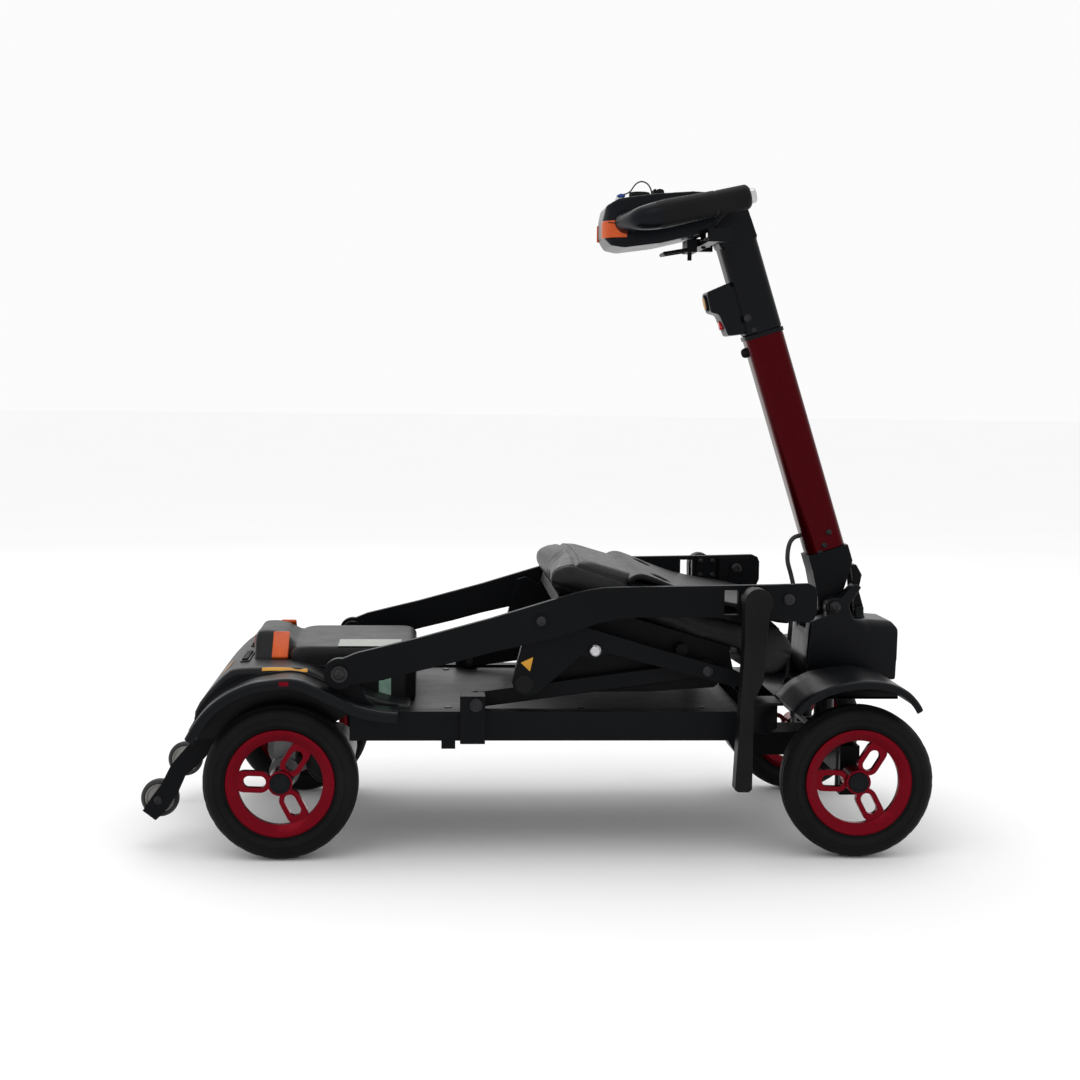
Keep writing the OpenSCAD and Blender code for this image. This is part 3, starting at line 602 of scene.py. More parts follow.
COVER_LINE = [(-444, 150), (-444, 184), (-438, 196), (-424, 214), (-404, 234), (-388, 241), (-340, 242.5),
              (-300, 241), (-268, 226), (-240, 213), (-217, 205), (-190, 197), (-165, 193)]
FENDER_LINE = [(-450, 160), (-440, 177), (-428, 193), (-415, 206), (-398, 218), (-380, 227), (-362, 233),
               (-342, 236), (-322, 238), (-304, 236), (-286, 229), (-267, 220), (-248, 211), (-230, 202),
               (-204, 196), (-180, 194)]
SHEET = 0.0035
FRONT_LINE = [(330, 196), (340, 207), (354, 218), (376, 228), (402, 234), (430, 236), (458, 232), (480, 222),
              (494, 208), (500, 198)]


def skin(name, line, rows, thick, material, body, start_smooth=0):
    """A moulded sheet: a smooth [x, z] line swept over rows of [y, drop].

    All in millimetres; drop is along the normal, and the first start_smooth points stay as corners.
    """
    first = [Vector((x, 0, z)) for x, z in line[:start_smooth]]
    run = first + spline([(x, 0, z) for x, z in line[start_smooth:]], 5)
    bm = bmesh.new()
    grid = []
    for i, p in enumerate(run):
        t = (run[min(i + 1, len(run) - 1)] - run[max(i - 1, 0)]).normalized()
        up = Vector((-t.z, 0, t.x))
        grid.append([bm.verts.new((p - up * drop) * MM + Vector((0, y * MM, 0))) for y, drop in rows])
    for a, b in zip(grid, grid[1:]):
        for k in range(len(rows) - 1):
            bm.faces.new((a[k], a[k + 1], b[k + 1], b[k]))
    obj = mesh_of(name, bm, material)
    # the outer side faces up
    if sum(p.normal.z for p in obj.data.polygons) < 0:
        obj.data.flip_normals()
    solid = obj.modifiers.new("solid", "SOLIDIFY")
    solid.thickness = thick
    solid.offset = -1
    final_mesh(obj)
    smooth(round_edges(obj, 0.0006, 2, 50), 40)
    return finish_piece(obj, body)


def rounded_rows(half, r):
    """Rows from -half to half that fall off in a quarter circle of radius r at both ends."""
    right = [(half - r * (1 - math.sin(a)), r * (1 - math.cos(a))) for a in np.linspace(0, math.pi / 2, 7)]
    left = [(-y, drop) for y, drop in reversed(right)]
    flat = [(y, 0.0) for y in np.linspace(r - half, half - r, 17)[1:-1]]
    return left + flat + right


# the fenders' rounded outer edge, in rows of [y, drop]
FENDER_EDGE = [(220, 0), (231, 0), (235, 0.5), (238, 2.0), (239.6, 4.6)]


def make_rear_cover():
    # the top sheet takes the lighter copy of the cover plastic, painted light from above; the walls below
    # take the plain cover plastic
    main = skin("rear_cover_top", COVER_LINE, rounded_rows(178, 9), SHEET, COVER_LIT_TOP, "chassis", 2)
    wall = [(x, z - 7) for x, z in COVER_LINE[1:]] + [(-165, 180), (-248, 180), (-300, 150), (-444, 150)]
    bm = bmesh.new()
    for s in (1, -1):
        prism(bm, wall, s * 174.5, s * 177.9)
    finish_mesh("rear_cover_walls", bm, COVER, "chassis", angle=30)
    for side, s in SIDES:
        rows = [(s * y, d) for y, d in ((178, 0), (200, 0), *FENDER_EDGE, (240, 8), (240, 13))]
        skin(f"{side}_fender", FENDER_LINE, rows, SHEET, COVER, "chassis")
        # raised bead along the fender's inner edge
        path = [Vector((x, s * 179.5, z + 0.4)) * MM for x, z in FENDER_LINE]
        bead = tube(f"{side}_fender_bead", spline(path, 0.006), 0.0016, COVER, 8)
        finish_piece(bead, "chassis")
    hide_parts("rear_cover")


def make_front_cover():
    rows = [(104, 0), (140, 0), (180, 0), *FENDER_EDGE, (240, 10)]
    for side, s in SIDES:
        skin(f"{side}_front_fender", FRONT_LINE, [(s * y, d) for y, d in rows], SHEET, COVER,
                         "chassis")
    bm = bmesh.new()
    for s in (1, -1):
        prism(bm, FRONT_LINE + [(500, 190), (330, 190)], s * 100, s * 104)
        prism(bm, [(285, 191), (285, 146), (322, 141), (334, 150), (334, 191)], s * 100, s * 104)
    for low, high in (((285, -104), (500, 104)), ((285, -160), (331, 160))):
        prism(bm, [(low[0], 190), (high[0], 190), (high[0], 194), (low[0], 194)], low[1], high[1])
    finish_mesh("front_cover_pan", bm, COVER, "chassis", 0.0008)
    turned("cable_boot", [(3.4, -2), (9, -2), (8.6, 1), (6.4, 2), (7, 3.4), (5.6, 4.4), (6.2, 5.8),
                          (4.8, 6.8), (4.9, 9), (3.4, 9)], (0.368, 0, 0.194), (0, 0, 1), GRIP, "chassis",
           24)
    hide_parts("front_cover")


def make_housing():
    # the housing takes the lighter copy of the cover plastic, painted light from above
    housing = soften("housing_top", ["battery_housing"], 0.0026, 12, COVER_LIT_TOP, "chassis")
    # the nose flows into the top in wide, soft curves
    nose = housing.vertex_groups.new(name="nose")
    for v in housing.data.vertices:
        share = min(1.0, (-0.298 - v.co.x) / 0.012)
        if share > 0 and v.co.z > 0.243:
            nose.add([v.index], share, "REPLACE")
    flow = housing.modifiers.new("flow", "SMOOTH")
    flow.iterations = 26
    flow.factor = 0.5
    flow.vertex_group = "nose"
    final_mesh(housing)
    smooth(housing, 180)
    # parting line along both sides of the housing
    for side, s in SIDES:
        path = [Vector((x, s * 0.1184, 0.2365)) for x in np.linspace(-0.309, -0.174, 14)]
        seam = tube(f"housing_seam_{side}", path, 0.0007, BLACK_STEEL, 6)
        finish_piece(seam, "chassis")
    # ribs of the vent behind the nose
    bm = bmesh.new()
    for s in (1, -1):
        prism(bm, [(-391, 239), (-391, 242.6), (-379, 244), (-379, 239)], s * 34, s * 116)
    finish_mesh("vent_tray", bm, BLACK_STEEL, "chassis", 0.0006)
    bm = bmesh.new()
    for s in (1, -1):
        for k in range(12):
            y = s * (38 + 6.6 * k)
            prism(bm, [(-390, 241), (-389, 245.4), (-381, 246.4), (-380, 241)], y - 1.3, y + 1.3)
    finish_mesh("vent_ribs", bm, COVER, "chassis", 0.0004)
    # side reflectors, sunk into the sloping flanks of the nose
    bm = bmesh.new()
    for s in (1, -1):
        front_prism(bm, [(s * y, z) for y, z in ((96, 241.5), (60.5, 272.5), (64.0, 276.6), (99.4, 245.4))],
                    -351, -329)
    caps = finish_mesh("nose_reflectors", bm, ORANGE, "chassis", 0.0022, 4, 40)
    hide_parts("side_reflectors")


def make_head():
    head = soften("head_casting", ["steering_head"], 0.0024, 3, COVER, "head")
    # the barrel's top edges are well rounded
    for v in head.data.vertices:
        grow = min(1.0, (v.co.x - 0.447) / 0.022)
        top = 0.294 - (v.co.x - 0.447) / 14
        if grow > 0 and 0.209 < v.co.z < top + 0.0015:
            r = 0.004 + 0.019 * grow
            inner = Vector((max(r - 0.058, min(0.058 - r, v.co.y)), min(v.co.z, top - r)))
            away = Vector((v.co.y, v.co.z)) - inner
            if away.length > r:
                v.co.y, v.co.z = inner + away * (r / away.length)
    head.data.update()


make_rear_cover()
make_front_cover()
make_housing()
make_head()


# ---- stickers, all blank ----

STICKER = 0.0003
TOP_Z = 0.26225


def on_chassis(name, corners, material, round_by=0.002):
    plate(name, corners, STICKER, material, "chassis", round_by)


on_chassis("sticker_housing", [(-0.262, -0.112, TOP_Z), (-0.178, -0.112, TOP_Z), (-0.178, -0.045, TOP_Z),
                               (-0.262, -0.045, TOP_Z)], CREAM)
on_chassis("sticker_apron", [(-0.4185, -0.095, 0.2208), (-0.4185, -0.045, 0.2208), (-0.4055, -0.045, 0.2338),
                             (-0.4055, -0.095, 0.2338)][::-1], TAN)
on_chassis("sticker_green", [(-0.207, -0.1184, 0.196), (-0.191, -0.1184, 0.196), (-0.191, -0.1184, 0.221),
                             (-0.207, -0.1184, 0.221)], GREEN, 0.001)
skin("sticker_edge", [(-357, 242.1), (-340, 242.6), (-320, 242.2), (-298, 240.6)],
     [(-177.6, 3.4), (-175.8, 1.9), (-173.2, 0.3), (-171.4, -0.2)], STICKER, AMBER, "chassis")
on_chassis("fender_mark", [(-0.330, -0.2404, 0.229), (-0.318, -0.2404, 0.229), (-0.318, -0.2404, 0.2345),
                           (-0.330, -0.2404, 0.2345)], RIM_RED, 0.001)
on_chassis("tail_strip", [(-0.4445, -0.165, 0.168), (-0.4445, 0.165, 0.168), (-0.4445, 0.165, 0.181),
                          (-0.4445, -0.165, 0.181)][::-1], LENS, 0.002)


bm = bmesh.new()
prism(bm, [(-22, 254), (-10, 242.7), (-6, 261.4)], -203.4, -203.05)
finish_mesh("rail_sticker", bm, AMBER, "seat", 0.0001, angle=30)


# ---- tiller ----

LEAN = math.radians(17.5)
TUBE_BASE = Vector((0.416, 0, 0.385))
ALONG = Vector((-math.sin(LEAN), 0, math.cos(LEAN)))
AHEAD = Vector((math.cos(LEAN), 0, math.sin(LEAN)))
BUTTON_T = 344
CHARGE_CAP_T = 380


def on_tiller(t, w=0.0, y=0.0):
    """A point t along the tiller from the tube's base, w ahead of its middle, y to the left (millimetres)."""
    return TUBE_BASE + (ALONG * t + AHEAD * w) * MM + Vector((0, y * MM, 0))


def casting():
    soften("tiller_casting", ["upper_casting"], 0.0018, 6, COVER, "tiller")

    def heel(bm):
        lift = [on_tiller(t, w) / MM for t, w in ((325, -29), (393, -29), (393, -20), (325, -20))]
        prism(bm, [(v.x, v.z) for v in lift], -22, 22)
    # room round the power button for its stroke
    bm = bmesh.new()
    button_out = -AHEAD * math.cos(math.radians(7)) + ALONG * math.sin(math.radians(7))
    lathe(bm, [(7.3, -3.6), (7.3, 8)], on_tiller(BUTTON_T, -50.5), button_out, 48, False)
    well = mesh_of("button_well", bm, COVER)
    soften("box_shell", ["control_box"], 0.0015, 5, COVER, "tiller", [well], heel)
    for t, w, r in ((10, -3, 4.2), (26, 8, 4.2), (2, -11, 3.6)):
        for s, side in ((-1, "right"), (1, "left")):
            screw(f"tube_screw_{t}_{side}", on_tiller(t, w, s * 25.1), (0, s, 0), r, 2.6, "tiller")
    for s, side in ((-1, "right"), (1, "left")):
        screw(f"casting_screw_{side}", on_tiller(326, -14, s * 26.9), (0, s, 0), 3.6, 1.6, "tiller")
    turned("casting_hole_ring", [(0.1, 0.2), (4, 0.2), (4.3, 0.9), (5.2, 1), (5.6, 0), (5.6, -1), (0.1, -1)],
           on_tiller(344, -18, -26.9), (0, -1, 0), BLACK_STEEL, "tiller", 36, 35)
    screw("height_knob", on_tiller(298, -27.4), -AHEAD, 7, 8, "tiller", GRIP, "round")
    # collar between the red tube and the casting
    bm = bmesh.new()
    rings = []
    for t, grow in ((314, 0.4), (314, 1.4), (319.8, 1.4), (319.8, 0.4)):
        ring = []
        for k in range(64):
            a = 2 * math.pi * k / 64
            half, r = (27 + grow, 25 + grow), 13
            c, s = math.cos(a), math.sin(a)
            x = math.copysign(half[0] - r, c) + r * c if abs(c) > 1e-9 else 0
            y = math.copysign(half[1] - r, s) + r * s if abs(s) > 1e-9 else 0
            ring.append(bm.verts.new(on_tiller(t, x, y)))
        rings.append(ring)
    for low, high in zip(rings, rings[1:] + rings[:1]):
        for k in range(64):
            bm.faces.new((low[k], low[(k + 1) % 64], high[(k + 1) % 64], high[k]))
    finish_mesh("tube_collar", bm, COVER, "tiller")
    # round cap of the charging socket, with its blank sticker
    face = on_tiller(CHARGE_CAP_T, -63.2)
    out = (-AHEAD * math.cos(math.radians(4)) + ALONG * math.sin(math.radians(4))).normalized()
    cap = turned("socket_cap", [(0.1, -1), (0.1, 2.9), (10.4, 2.9), (11.6, 2.4), (12, 1.2), (12, -1)], face,
                 out, COVER, "tiller", 48, 35)
    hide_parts("charge_cap")
    turned("socket_sticker", [(0.1, 2.7), (0.1, 3.1), (8.6, 3.1), (8.9, 2.7)], face, out, AMBER, "tiller",
           40, 35)


casting()


# ---- console, grips and controls ----

CONSOLE_REAR = 0.0915
CONSOLE_HALF = 0.062
CORNER = 0.034


def arm_radius(share):
    """The arm is thick at the console and waisted before the grip."""
    return 0.0185 - 0.0085 * math.sin(math.pi * share) ** 2 * (1 - share) - 0.0004 * share


def console():
    shell = soften("console_shell", ["console"], 0.0019, 9, CONSOLE, "tiller")
    # its rear corners are rounded in plan
    for v in shell.data.vertices:
        deep = v.co.x - CONSOLE_REAR
        if deep < CORNER:
            half = CONSOLE_HALF - CORNER + math.sqrt(max(0.0, CORNER ** 2 - (CORNER - max(deep, 0.0)) ** 2))
            v.co.y *= half / CONSOLE_HALF
    shell.data.update()
    # lower lip, where the two halves meet
    for side, s in SIDES:
        path = spline([Vector((x * MM, s * 0.0618, z * MM)) for x, z in
                       ((97, 832), (120, 831), (160, 838), (200, 848), (258, 858))], 0.004)
        finish_piece(tube(f"console_seam_{side}", path, 0.0007, GRIP, 6), "tiller")
    # reflectors wrap the rear corners
    bm = bmesh.new()
    for s in (1, -1):
        inner, outer = [], []
        for a in np.linspace(math.radians(8), math.radians(86), 9):
            way = Vector((-math.cos(a), s * math.sin(a)))
            middle = Vector((CONSOLE_REAR + CORNER, s * (CONSOLE_HALF - CORNER)))
            inner.append(middle + way * (CORNER - 0.004))
            outer.append(middle + way * (CORNER + 0.0016))
        ring = outer + inner[::-1]
        block(bm, *([(q.x, q.y, z) for q in ring] for z in (0.8125, 0.8355)))
    corners = round_edges(mesh_of("corner_reflectors", bm, ORANGE), 0.0012, 3, 40)
    finish_piece(smooth(corners, 40), "tiller")
    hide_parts("console_reflectors")
    for side, s in SIDES:
        tip = Vector((0.286, s * 0.115, 0.866))
        bend = Vector((0.150, s * 0.115, 0.836))
        ahead = (tip - bend).normalized()
        # the moulded arm that the grip grows out of
        arm_line = [Vector((0.124, s * 0.046, 0.834)), Vector((0.124, s * 0.064, 0.833)),
                    Vector((0.128, s * 0.086, 0.8330)), Vector((0.138, s * 0.1045, 0.8342)),
                    bend + ahead * 0.004 + Vector((0, s * -0.0022, 0)), bend + ahead * 0.018]
        arm = tube(f"{side}_arm", spline(arm_line, 0.003), arm_radius, CONSOLE, 32)
        finish_piece(arm, "tiller")
        line = [bend + ahead * 0.006 + Vector((0, s * -0.0016, 0)), bend + ahead * 0.030,
                bend + ahead * 0.065, bend + ahead * 0.100, tip - ahead * 0.006]
        path = spline(line, 0.0016)
        lengths = np.cumsum([0] + [(b - a).length for a, b in zip(path, path[1:])])
        total = lengths[-1]
        step_at = total - 0.046

        def radius(share):
            at = share * total
            base = 0.0166 if at > step_at else 0.0171
            swell = 0.0016 * math.exp(-((at - 0.018) / 0.03) ** 2)
            groove = 0.0011 * math.exp(-((at - step_at) / 0.0011) ** 2)
            swell -= 0.0022 * max(0.0, 1 - at / 0.003) ** 2
            end = total - at
            round_off = 0.0045 * max(0.0, 1 - end / 0.006) ** 2
            return base + swell - groove - round_off
        grip = tube(f"{side}_grip", path, radius, GRIP, 36)
        finish_piece(grip, "tiller")
        smooth(grip, 60)
        turned(f"{side}_bar_end", [(0.1, -9), (0.1, 2.2), (3.4, 2.4), (4.2, 1.4), (8.3, 1.4), (9.6, 0.4),
                                   (10.2, -1.5), (10.2, -9)], tip + ahead * 0.0002, ahead, STEEL, "tiller",
               36)
        if s > 0:
            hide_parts("grips", "handlebar")


KNOB_STEPS = 120
KNOB_RIBS = 20


def controls():
    # ribbed knob of the speed dial
    centre = Vector((0.148, 0.018, 0.8703))
    bm = bmesh.new()
    rings = lathe(bm, [(0.1, 0), (14.6, 0), (14.9, 1), (14.6, 9.2), (13.6, 10.7), (11.4, 11), (10.6, 10.3),
                       (0.1, 10.3)], centre, (0, 0, 1), KNOB_STEPS)
    for ring in rings[2:5]:
        for k, v in enumerate(ring):
            d = v.co - centre
            d.z = 0
            v.co -= d * (0.075 * (0.5 + 0.5 * math.cos(2 * math.pi * KNOB_RIBS * k / KNOB_STEPS)))
    knob = finish_mesh("dial_knob", bm, GRIP, "dial", angle=40)
    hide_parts("speed_dial")
    mark = [centre + Vector((x, y, 0.0104))
            for x, y in ((0.004, -0.0007), (0.0098, -0.0007), (0.0098, 0.0007), (0.004, 0.0007))]
    plate("dial_mark", mark, STICKER, CREAM, "dial", 0.0003)
    # tick marks round the dial
    bm = bmesh.new()
    for k in range(-4, 5):
        a = math.radians(30 * k)
        out = Vector((math.cos(a), math.sin(a), 0))
        across = Vector((-out.y, out.x, 0))
        at = centre + Vector((0, 0, 0.0015))
        quad = [at + out * 0.0175 + across * 0.0004, at + out * 0.0175 - across * 0.0004,
                at + out * 0.0198 - across * 0.0004, at + out * 0.0198 + across * 0.0004]
        block(bm, quad, [q + Vector((0, 0, 0.0016)) for q in quad])
    finish_mesh("dial_ticks", bm, CREAM, "tiller")
    # ribbed display block beside the dial
    bm = bmesh.new()
    prism(bm, [(164.5, 866), (165.5, 881), (172, 883.6), (178, 882), (181, 866)], -16, 22)
    finish_mesh("gauge_block", bm, COVER, "tiller", 0.002, 3)
    bm = bmesh.new()
    for k in range(7):
        y = -13 + 5.3 * k
        prism(bm, [(162.8, 868), (164, 882.4), (167.4, 883.2), (167, 868)], y - 1.2, y + 1.2)
    finish_mesh("gauge_fins", bm, GRIP, "tiller", 0.0006)
    # key bow, collar and the lanyard's loop
    at = Vector((0.118, -0.020, 0.860))
    bm = bmesh.new()
    lathe(bm, [(0.1, 0), (3, 0), (3, 9.6), (0.1, 10)], at, (0, 0, 1), 24)
    prism(bm, [(113, 869.6), (112.4, 872.6), (118, 874.6), (123.6, 872.6), (123, 869.6)], -28, -12)
    bow = finish_mesh("key_bow", bm, BLUE, "switch_key", 0.0008, 3)
    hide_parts("key")
    turned("key_collar", [(3.4, -2), (8, -2), (8, 8.4), (7.2, 9.4), (3.6, 9.4)], at, (0, 0, 1), STEEL,
           "tiller", 32, 35)
    loop = [(0.1200, -0.0200, 0.8735), (0.1262, -0.0212, 0.8752), (0.1312, -0.0228, 0.8785),
            (0.1342, -0.0235, 0.8830), (0.1388, -0.0236, 0.8885), (0.1456, -0.0232, 0.8915),
            (0.1528, -0.0226, 0.8895), (0.1578, -0.0216, 0.8840), (0.1602, -0.0208, 0.8775),
            (0.1604, -0.0202, 0.8725)]
    path = spline(loop, 0.002)
    strap = tube("lanyard_loop", path, 0.0010, CORD, 10)
    finish_piece(strap, "switch_key")


console()
controls()


# ---- seat ----

SEAT_TOP = Vector((0.036, 0, 0.383))
SLOPE = math.radians(16.3)
SEAT_X = Vector((math.cos(SLOPE), 0, -math.sin(SLOPE)))
SEAT_Z = Vector((math.sin(SLOPE), 0, math.cos(SLOPE)))
SEAT_LINE = [(-4, -3), (-18, -16), (-20, -30), (-12, -44), (-4, -46), (258, -46), (272, -70), (304, -74),
             (322, -64), (334, -38), (330, -18), (314, -6), (290, 0), (10, 0)]


# the seams of the seat's top panel, and the pitch of the stitches beside them
PANEL_REAR = 16
PANEL_MIDDLE = 166
PANEL_HALF = 160
STITCH = 4.6


def inset(points, by):
    """The outline moved inwards; the points run round once."""
    p = np.array(points, float)
    area = 0.5 * sum(a[0] * b[1] - b[0] * a[1] for a, b in zip(p, np.roll(p, -1, 0)))
    out = []
    for i in range(len(p)):
        a, b = p[i] - p[i - 1], p[(i + 1) % len(p)] - p[i]
        a, b = a / np.linalg.norm(a), b / np.linalg.norm(b)
        n = np.array([-(a + b)[1], (a + b)[0]])
        n = n / np.linalg.norm(n) * (1 if area > 0 else -1)
        out.append(p[i] + n * by)
    return out


def swell(obj, voxel, pressure, cap):
    """Puffs obj up with a cloth simulation and applies the result. No point moves further than cap."""
    remesh = obj.modifiers.new("remesh", "REMESH")
    remesh.mode = "VOXEL"
    remesh.voxel_size = voxel
    final_mesh(obj)
    before = np.array([v.co for v in obj.data.vertices])
    cloth = obj.modifiers.new("cloth", "CLOTH")
    cloth.settings.effector_weights.gravity = 0
    cloth.settings.use_pressure = True
    cloth.settings.uniform_pressure_force = pressure
    cloth.settings.tension_stiffness = 18
    cloth.settings.compression_stiffness = 18
    cloth.settings.bending_stiffness = 0.6
    cloth.point_cache.frame_start = 1
    cloth.point_cache.frame_end = 20
    for f in range(1, 21):
        SCENE.frame_set(f)
    final_mesh(obj)
    SCENE.frame_set(1)
    after = np.array([v.co for v in obj.data.vertices])
    move = after - before
    far = np.linalg.norm(move, axis=1)
    move *= np.minimum(1, cap / np.maximum(far, 1e-9))[:, None]
    obj.data.vertices.foreach_set("co", (before + move).astype(np.float32).ravel())
    ease = obj.modifiers.new("ease", "SMOOTH")
    ease.iterations = 7
    more = obj.modifiers.new("more", "SUBSURF")
    more.levels = 1
    final_mesh(obj)
    return obj


def seat_points(obj):
    """Vertices in the seat's own [x, y, z], millimetres."""
    co = np.array([v.co for v in obj.data.vertices]) - np.array(SEAT_TOP)
    return np.stack([co @ np.array(SEAT_X), co[:, 1], co @ np.array(SEAT_Z)], 1) / MM


def set_seat_points(obj, p):
    world = np.array(SEAT_TOP) + MM * (p[:, :1] * np.array(SEAT_X) + p[:, 1:2] * np.array((0, 1, 0))
                                       + p[:, 2:] * np.array(SEAT_Z))
    obj.data.vertices.foreach_set("co", world.astype(np.float32).ravel())
    obj.data.update()


def groove(p, normal, distance, width, depth):
    """Pushes points in along -normal where distance is small."""
    pull = depth * np.exp(-(distance / width) ** 2)
    return p - normal * pull[:, None]


def normals_of(obj):
    obj.data.update()
    n = np.zeros(len(obj.data.vertices) * 3, np.float32)
    obj.data.vertices.foreach_get("normal", n)
    n = n.reshape(-1, 3).astype(float)
    return np.stack([n @ np.array(SEAT_X), n[:, 1], n @ np.array(SEAT_Z)], 1)


def make_seat():
    bm = bmesh.new()
    line = inset(SEAT_LINE, 5)
    prism(bm, line, -173, 173)
    for v in bm.verts:
        x, z = v.co.x, v.co.z
        v.co = SEAT_TOP + SEAT_X * x + SEAT_Z * z + Vector((0, v.co.y, 0))
    seat = mesh_of("seat_pad", bm, LEATHER)
    swell(seat, 0.0055, 2.6, 0.013)
    p = seat_points(seat)
    # it lies flat on the pan and stays between the rails
    over_pan = (p[:, 0] > -2) & (p[:, 0] < 256)
    p[:, 2] = np.where(over_pan, np.maximum(p[:, 2], -46), p[:, 2])
    p[:, 1] = np.clip(p[:, 1], -181.5, 181.5)
    p[:, 2] = np.minimum(p[:, 2], 9)
    set_seat_points(seat, p)
    n = normals_of(seat)
    p = seat_points(seat)
    upper = p[:, 2] > -22
    # the seam round the top panel, one across its middle, one low on the sides and one to each rear corner
    inner = np.stack([p[:, 0] - PANEL_REAR, 306 - p[:, 0], PANEL_HALF - np.abs(p[:, 1])], 1)
    ring = np.where(inner.min(1) >= 0, inner.min(1), -np.linalg.norm(np.minimum(inner, 0), axis=1))
    d = np.where(upper & (n[:, 2] > -0.2), np.abs(ring), 99)
    p = groove(p, n, d, 2.2, 3.2)
    middle = np.where(upper & (inner.min(1) > 0), np.abs(p[:, 0] - PANEL_MIDDLE), 99)
    p = groove(p, n, middle, 2.0, 2.6)
    side = np.where(np.abs(n[:, 1]) > 0.6, np.abs(p[:, 2] + 33), 99)
    p = groove(p, n, side, 1.8, 2.0)
    corner = np.where((p[:, 0] < PANEL_REAR) & upper, np.abs(np.abs(p[:, 1]) - PANEL_HALF), 99)
    p = groove(p, n, corner, 2.0, 2.6)
    set_seat_points(seat, p)
    smooth(seat, 180)
    finish_piece(seat, "seat")
    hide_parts("seat_cushion")
    stitch_row(seat)


def stitch_row(seat):
    """Short stitches along the top seams, laid on the pad's surface."""
    bm = bmesh.new()
    bm.from_mesh(seat.data)
    tree = BVHTree.FromBMesh(bm)
    bm.free()
    out = bmesh.new()

    def stitch(x, y, dx, dy):
        start = SEAT_TOP + SEAT_X * (x * MM) + Vector((0, y * MM, 0)) + SEAT_Z * 0.06
        hit, normal, _, _ = tree.ray_cast(start, -SEAT_Z)
        if hit is None:
            return
        go = (SEAT_X * dx + Vector((0, dy, 0))).normalized()
        go = (go - normal * go.dot(normal)).normalized()
        across = normal.cross(go)
        rings = []
        for a, r in ((-1.5, 0.18), (-0.9, 0.42), (0.9, 0.42), (1.5, 0.18)):
            rings.append([out.verts.new(hit + go * (a * MM) + normal * 0.0001
                                        + (across * math.cos(b) + normal * math.sin(b)) * (r * MM))
                          for b in (math.pi * k / 3 for k in range(6))])
        for low, high in zip(rings, rings[1:]):
            for k in range(6):
                out.faces.new((low[k], low[(k + 1) % 6], high[(k + 1) % 6], high[k]))
        out.faces.new(rings[0])
        out.faces.new(reversed(rings[-1]))

    for y in np.arange(-152, 153, STITCH):
        for x in (PANEL_REAR + STITCH, PANEL_MIDDLE + STITCH, PANEL_MIDDLE - STITCH):
            stitch(x, y, 0, 1)
    for x in np.arange(24, 300, STITCH):
        for s in (-1, 1):
            stitch(x, s * (PANEL_HALF - STITCH), 1, 0)
    finish_mesh("seat_stitches", out, THREAD, "seat", angle=180)


make_seat()

BACK_BOTTOM = [(124, 354.5), (150, 348), (200, 336), (250, 322), (300, 307.5), (340, 296)]
BACK_MIDDLE = [(340, 308), (300, 317), (268, 322), (225, 330), (188, 342.5), (158, 353), (141, 358.3),
               (130, 358.5), (123, 355)]
BACK_TOP = [(118, 354), (120, 361), (128, 366), (139, 367.3), (157, 361.5), (188, 349), (226, 336.5),
            (268, 328), (300, 323), (342, 314)]
HAND_HOLE = (170, 112)
HAND_HOLE_R = (13, 34)
HOLE_STEPS = 40


def make_back():
    bm = bmesh.new()
    prism(bm, inset(BACK_BOTTOM + BACK_MIDDLE, 2.6), -168, 168)
    pad = mesh_of("back_pad", bm, LEATHER)
    swell(pad, 0.005, 3.0, 0.004)
    smooth(pad, 180)
    finish_piece(pad, "beams")
    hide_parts("back_cushion")

    # a moulded shell with a hand hole near each side
    run_top = spline([(x, 0, z) for x, z in BACK_TOP], 4)
    run_low = spline([(x, 0, z + 0.4) for x, z in BACK_MIDDLE], 4)
    outline = [(p.x, p.z) for p in run_top] + [(p.x, p.z) for p in run_low]
    bm = bmesh.new()
    prism(bm, outline, -175, 175)
    for s in (1, -1):
        y0, y1 = sorted((s * 174, s * 201))
        prism(bm, [(262, 319), (294, 319), (294, 323), (262, 323)], y0, y1)
    # the shell takes the lighter copy of the cover plastic, painted light from above
    shell = mesh_of("back_shell_moulding", bm, COVER_LIT_TOP)
    cutters = []
    for s in (1, -1):
        hole = bmesh.new()
        ring = []
        for a in (2 * math.pi * k / HOLE_STEPS for k in range(HOLE_STEPS)):
            ring.append(((HAND_HOLE[0] + HAND_HOLE_R[0] * math.cos(a)) * MM,
                         (s * HAND_HOLE[1] + HAND_HOLE_R[1] * math.sin(a)) * MM))
        block(hole, *([(x, y, z) for x, y in ring] for z in (0.345, 0.42)))
        cutters.append(mesh_of("hole", hole, COVER_LIT_TOP))
    for cutter in cutters:
        cut = shell.modifiers.new("cut", "BOOLEAN")
        cut.operation = "DIFFERENCE"
        cut.object = cutter
        cut.solver = "EXACT"
    remesh = shell.modifiers.new("remesh", "REMESH")
    remesh.mode = "VOXEL"
    remesh.voxel_size = 0.0023
    ease = shell.modifiers.new("ease", "SMOOTH")
    ease.iterations = 6
    final_mesh(shell)
    for cutter in cutters:
        bpy.data.objects.remove(cutter)
    shell.data.materials.clear()
    shell.data.materials.append(COVER_LIT_TOP)
    smooth(shell, 180)
    finish_piece(shell, "beams")
    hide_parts("back_shell")


make_back()


# ---- cable ----

def make_cable():
    points = [(0.3808, 0, 0.4054), (0.373, 0, 0.4029), (0.367, 0, 0.396), (0.364, 0, 0.384),
              (0.364, 0, 0.368), (0.369, 0, 0.350), (0.373, 0, 0.332), (0.373, 0, 0.312), (0.371, 0, 0.288),
              (0.369, 0, 0.262), (0.368, 0, 0.236), (0.368, 0, 0.216), (0.368, 0, 0.200)]
    path = spline(points, 0.003)
    cable = tube("control_cable_braid", path, 0.0032, BRAID, 16)
    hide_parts("control_cable")
    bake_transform(cable)


make_cable()


# ---- small hardware ----

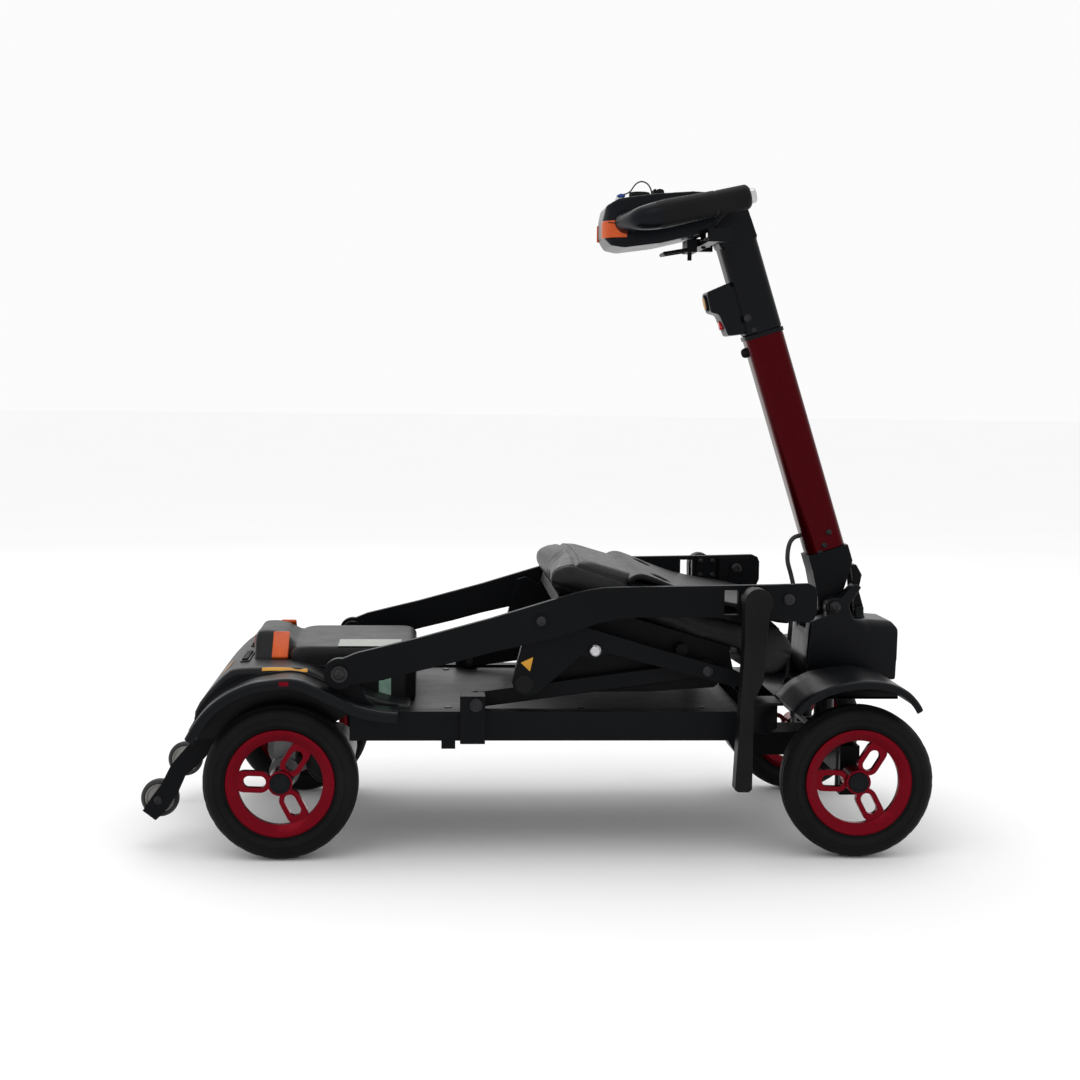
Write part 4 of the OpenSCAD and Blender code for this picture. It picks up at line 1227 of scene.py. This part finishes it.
def hardware():
    for side, s in SIDES:
        out = (0, s, 0)
        # pivot and joint screws on the long beams
        screw(f"beam_pivot_{side}", (-0.255, s * 0.222, 0.241), out, 7, 3, "chassis")
        screw(f"beam_seat_{side}", (0.003, s * 0.2195, 0.310), out, 6.5, 2.4, "beams")
        screw(f"beam_front_{side}", (0.324, s * 0.2185, 0.339), out, 7.5, 2.6, "beams")
        # the far plates' screws face inwards
        for k, (x, z) in enumerate(((0.270, 0.329), (0.288, 0.329), (0.270, 0.350), (0.288, 0.350))):
            screw(f"plate_screw_{side}_{k}", (x, s * 0.1992, z), (0, -s, 0), 3.6, 1.8, "beams")
        screw(f"plate_bolt_{side}", (0.324, s * 0.1942, 0.339), (0, -s, 0), 8, 3, "beams")
        screw(f"link_bolt_{side}", (-0.080, s * 0.226, 0.202), out, 6, 2.2, "chassis")
        screw(f"arm_cap_{side}", (0.276, s * 0.2555, 0.340), out, 5.5, 1.6, "beams")
        screw(f"fold_screw_{side}", (0.420, s * 0.0620, 0.311), out, 6, 2.4, "head")
    # on each seat rail a bright knob, the rubber stop at its foot and the screw of its front pivot
    for side, s in SIDES:
        out = (0, s, 0)
        turned(f"rail_knob_{side}", [(0.1, -4), (5.2, -4), (5.2, 1.4), (7.6, 2.2), (8.6, 4.6), (7.6, 7.4),
                                     (5.4, 8.8), (5.0, 8.2), (0.1, 8.2)], (0.0745, s * 0.2022, 0.270), out,
               STEEL, "seat", 40)
        turned(f"rail_stop_{side}", [(0.1, -1), (12.3, -1), (12.3, 1.2), (11.8, 1.7), (0.1, 1.75)],
               (-0.017, s * 0.2030, 0.226), out, GRIP, "seat", 40)
        screw(f"rail_front_{side}", (0.222, s * 0.2032, 0.243), out, 7, 2.4, "seat")


hardware()

# the CAD nodes that stay, with wider rounding on the moulded ones
WIDE = {"left_armrest": 0.003, "right_armrest": 0.003, "tiller_knuckle": 0.0025}
for node, obj in NODES.items():
    if not obj.hide_render and not obj.modifiers:
        keep_node(node, None, WIDE.get(node, 0.0011), 3 if node in WIDE else 2)
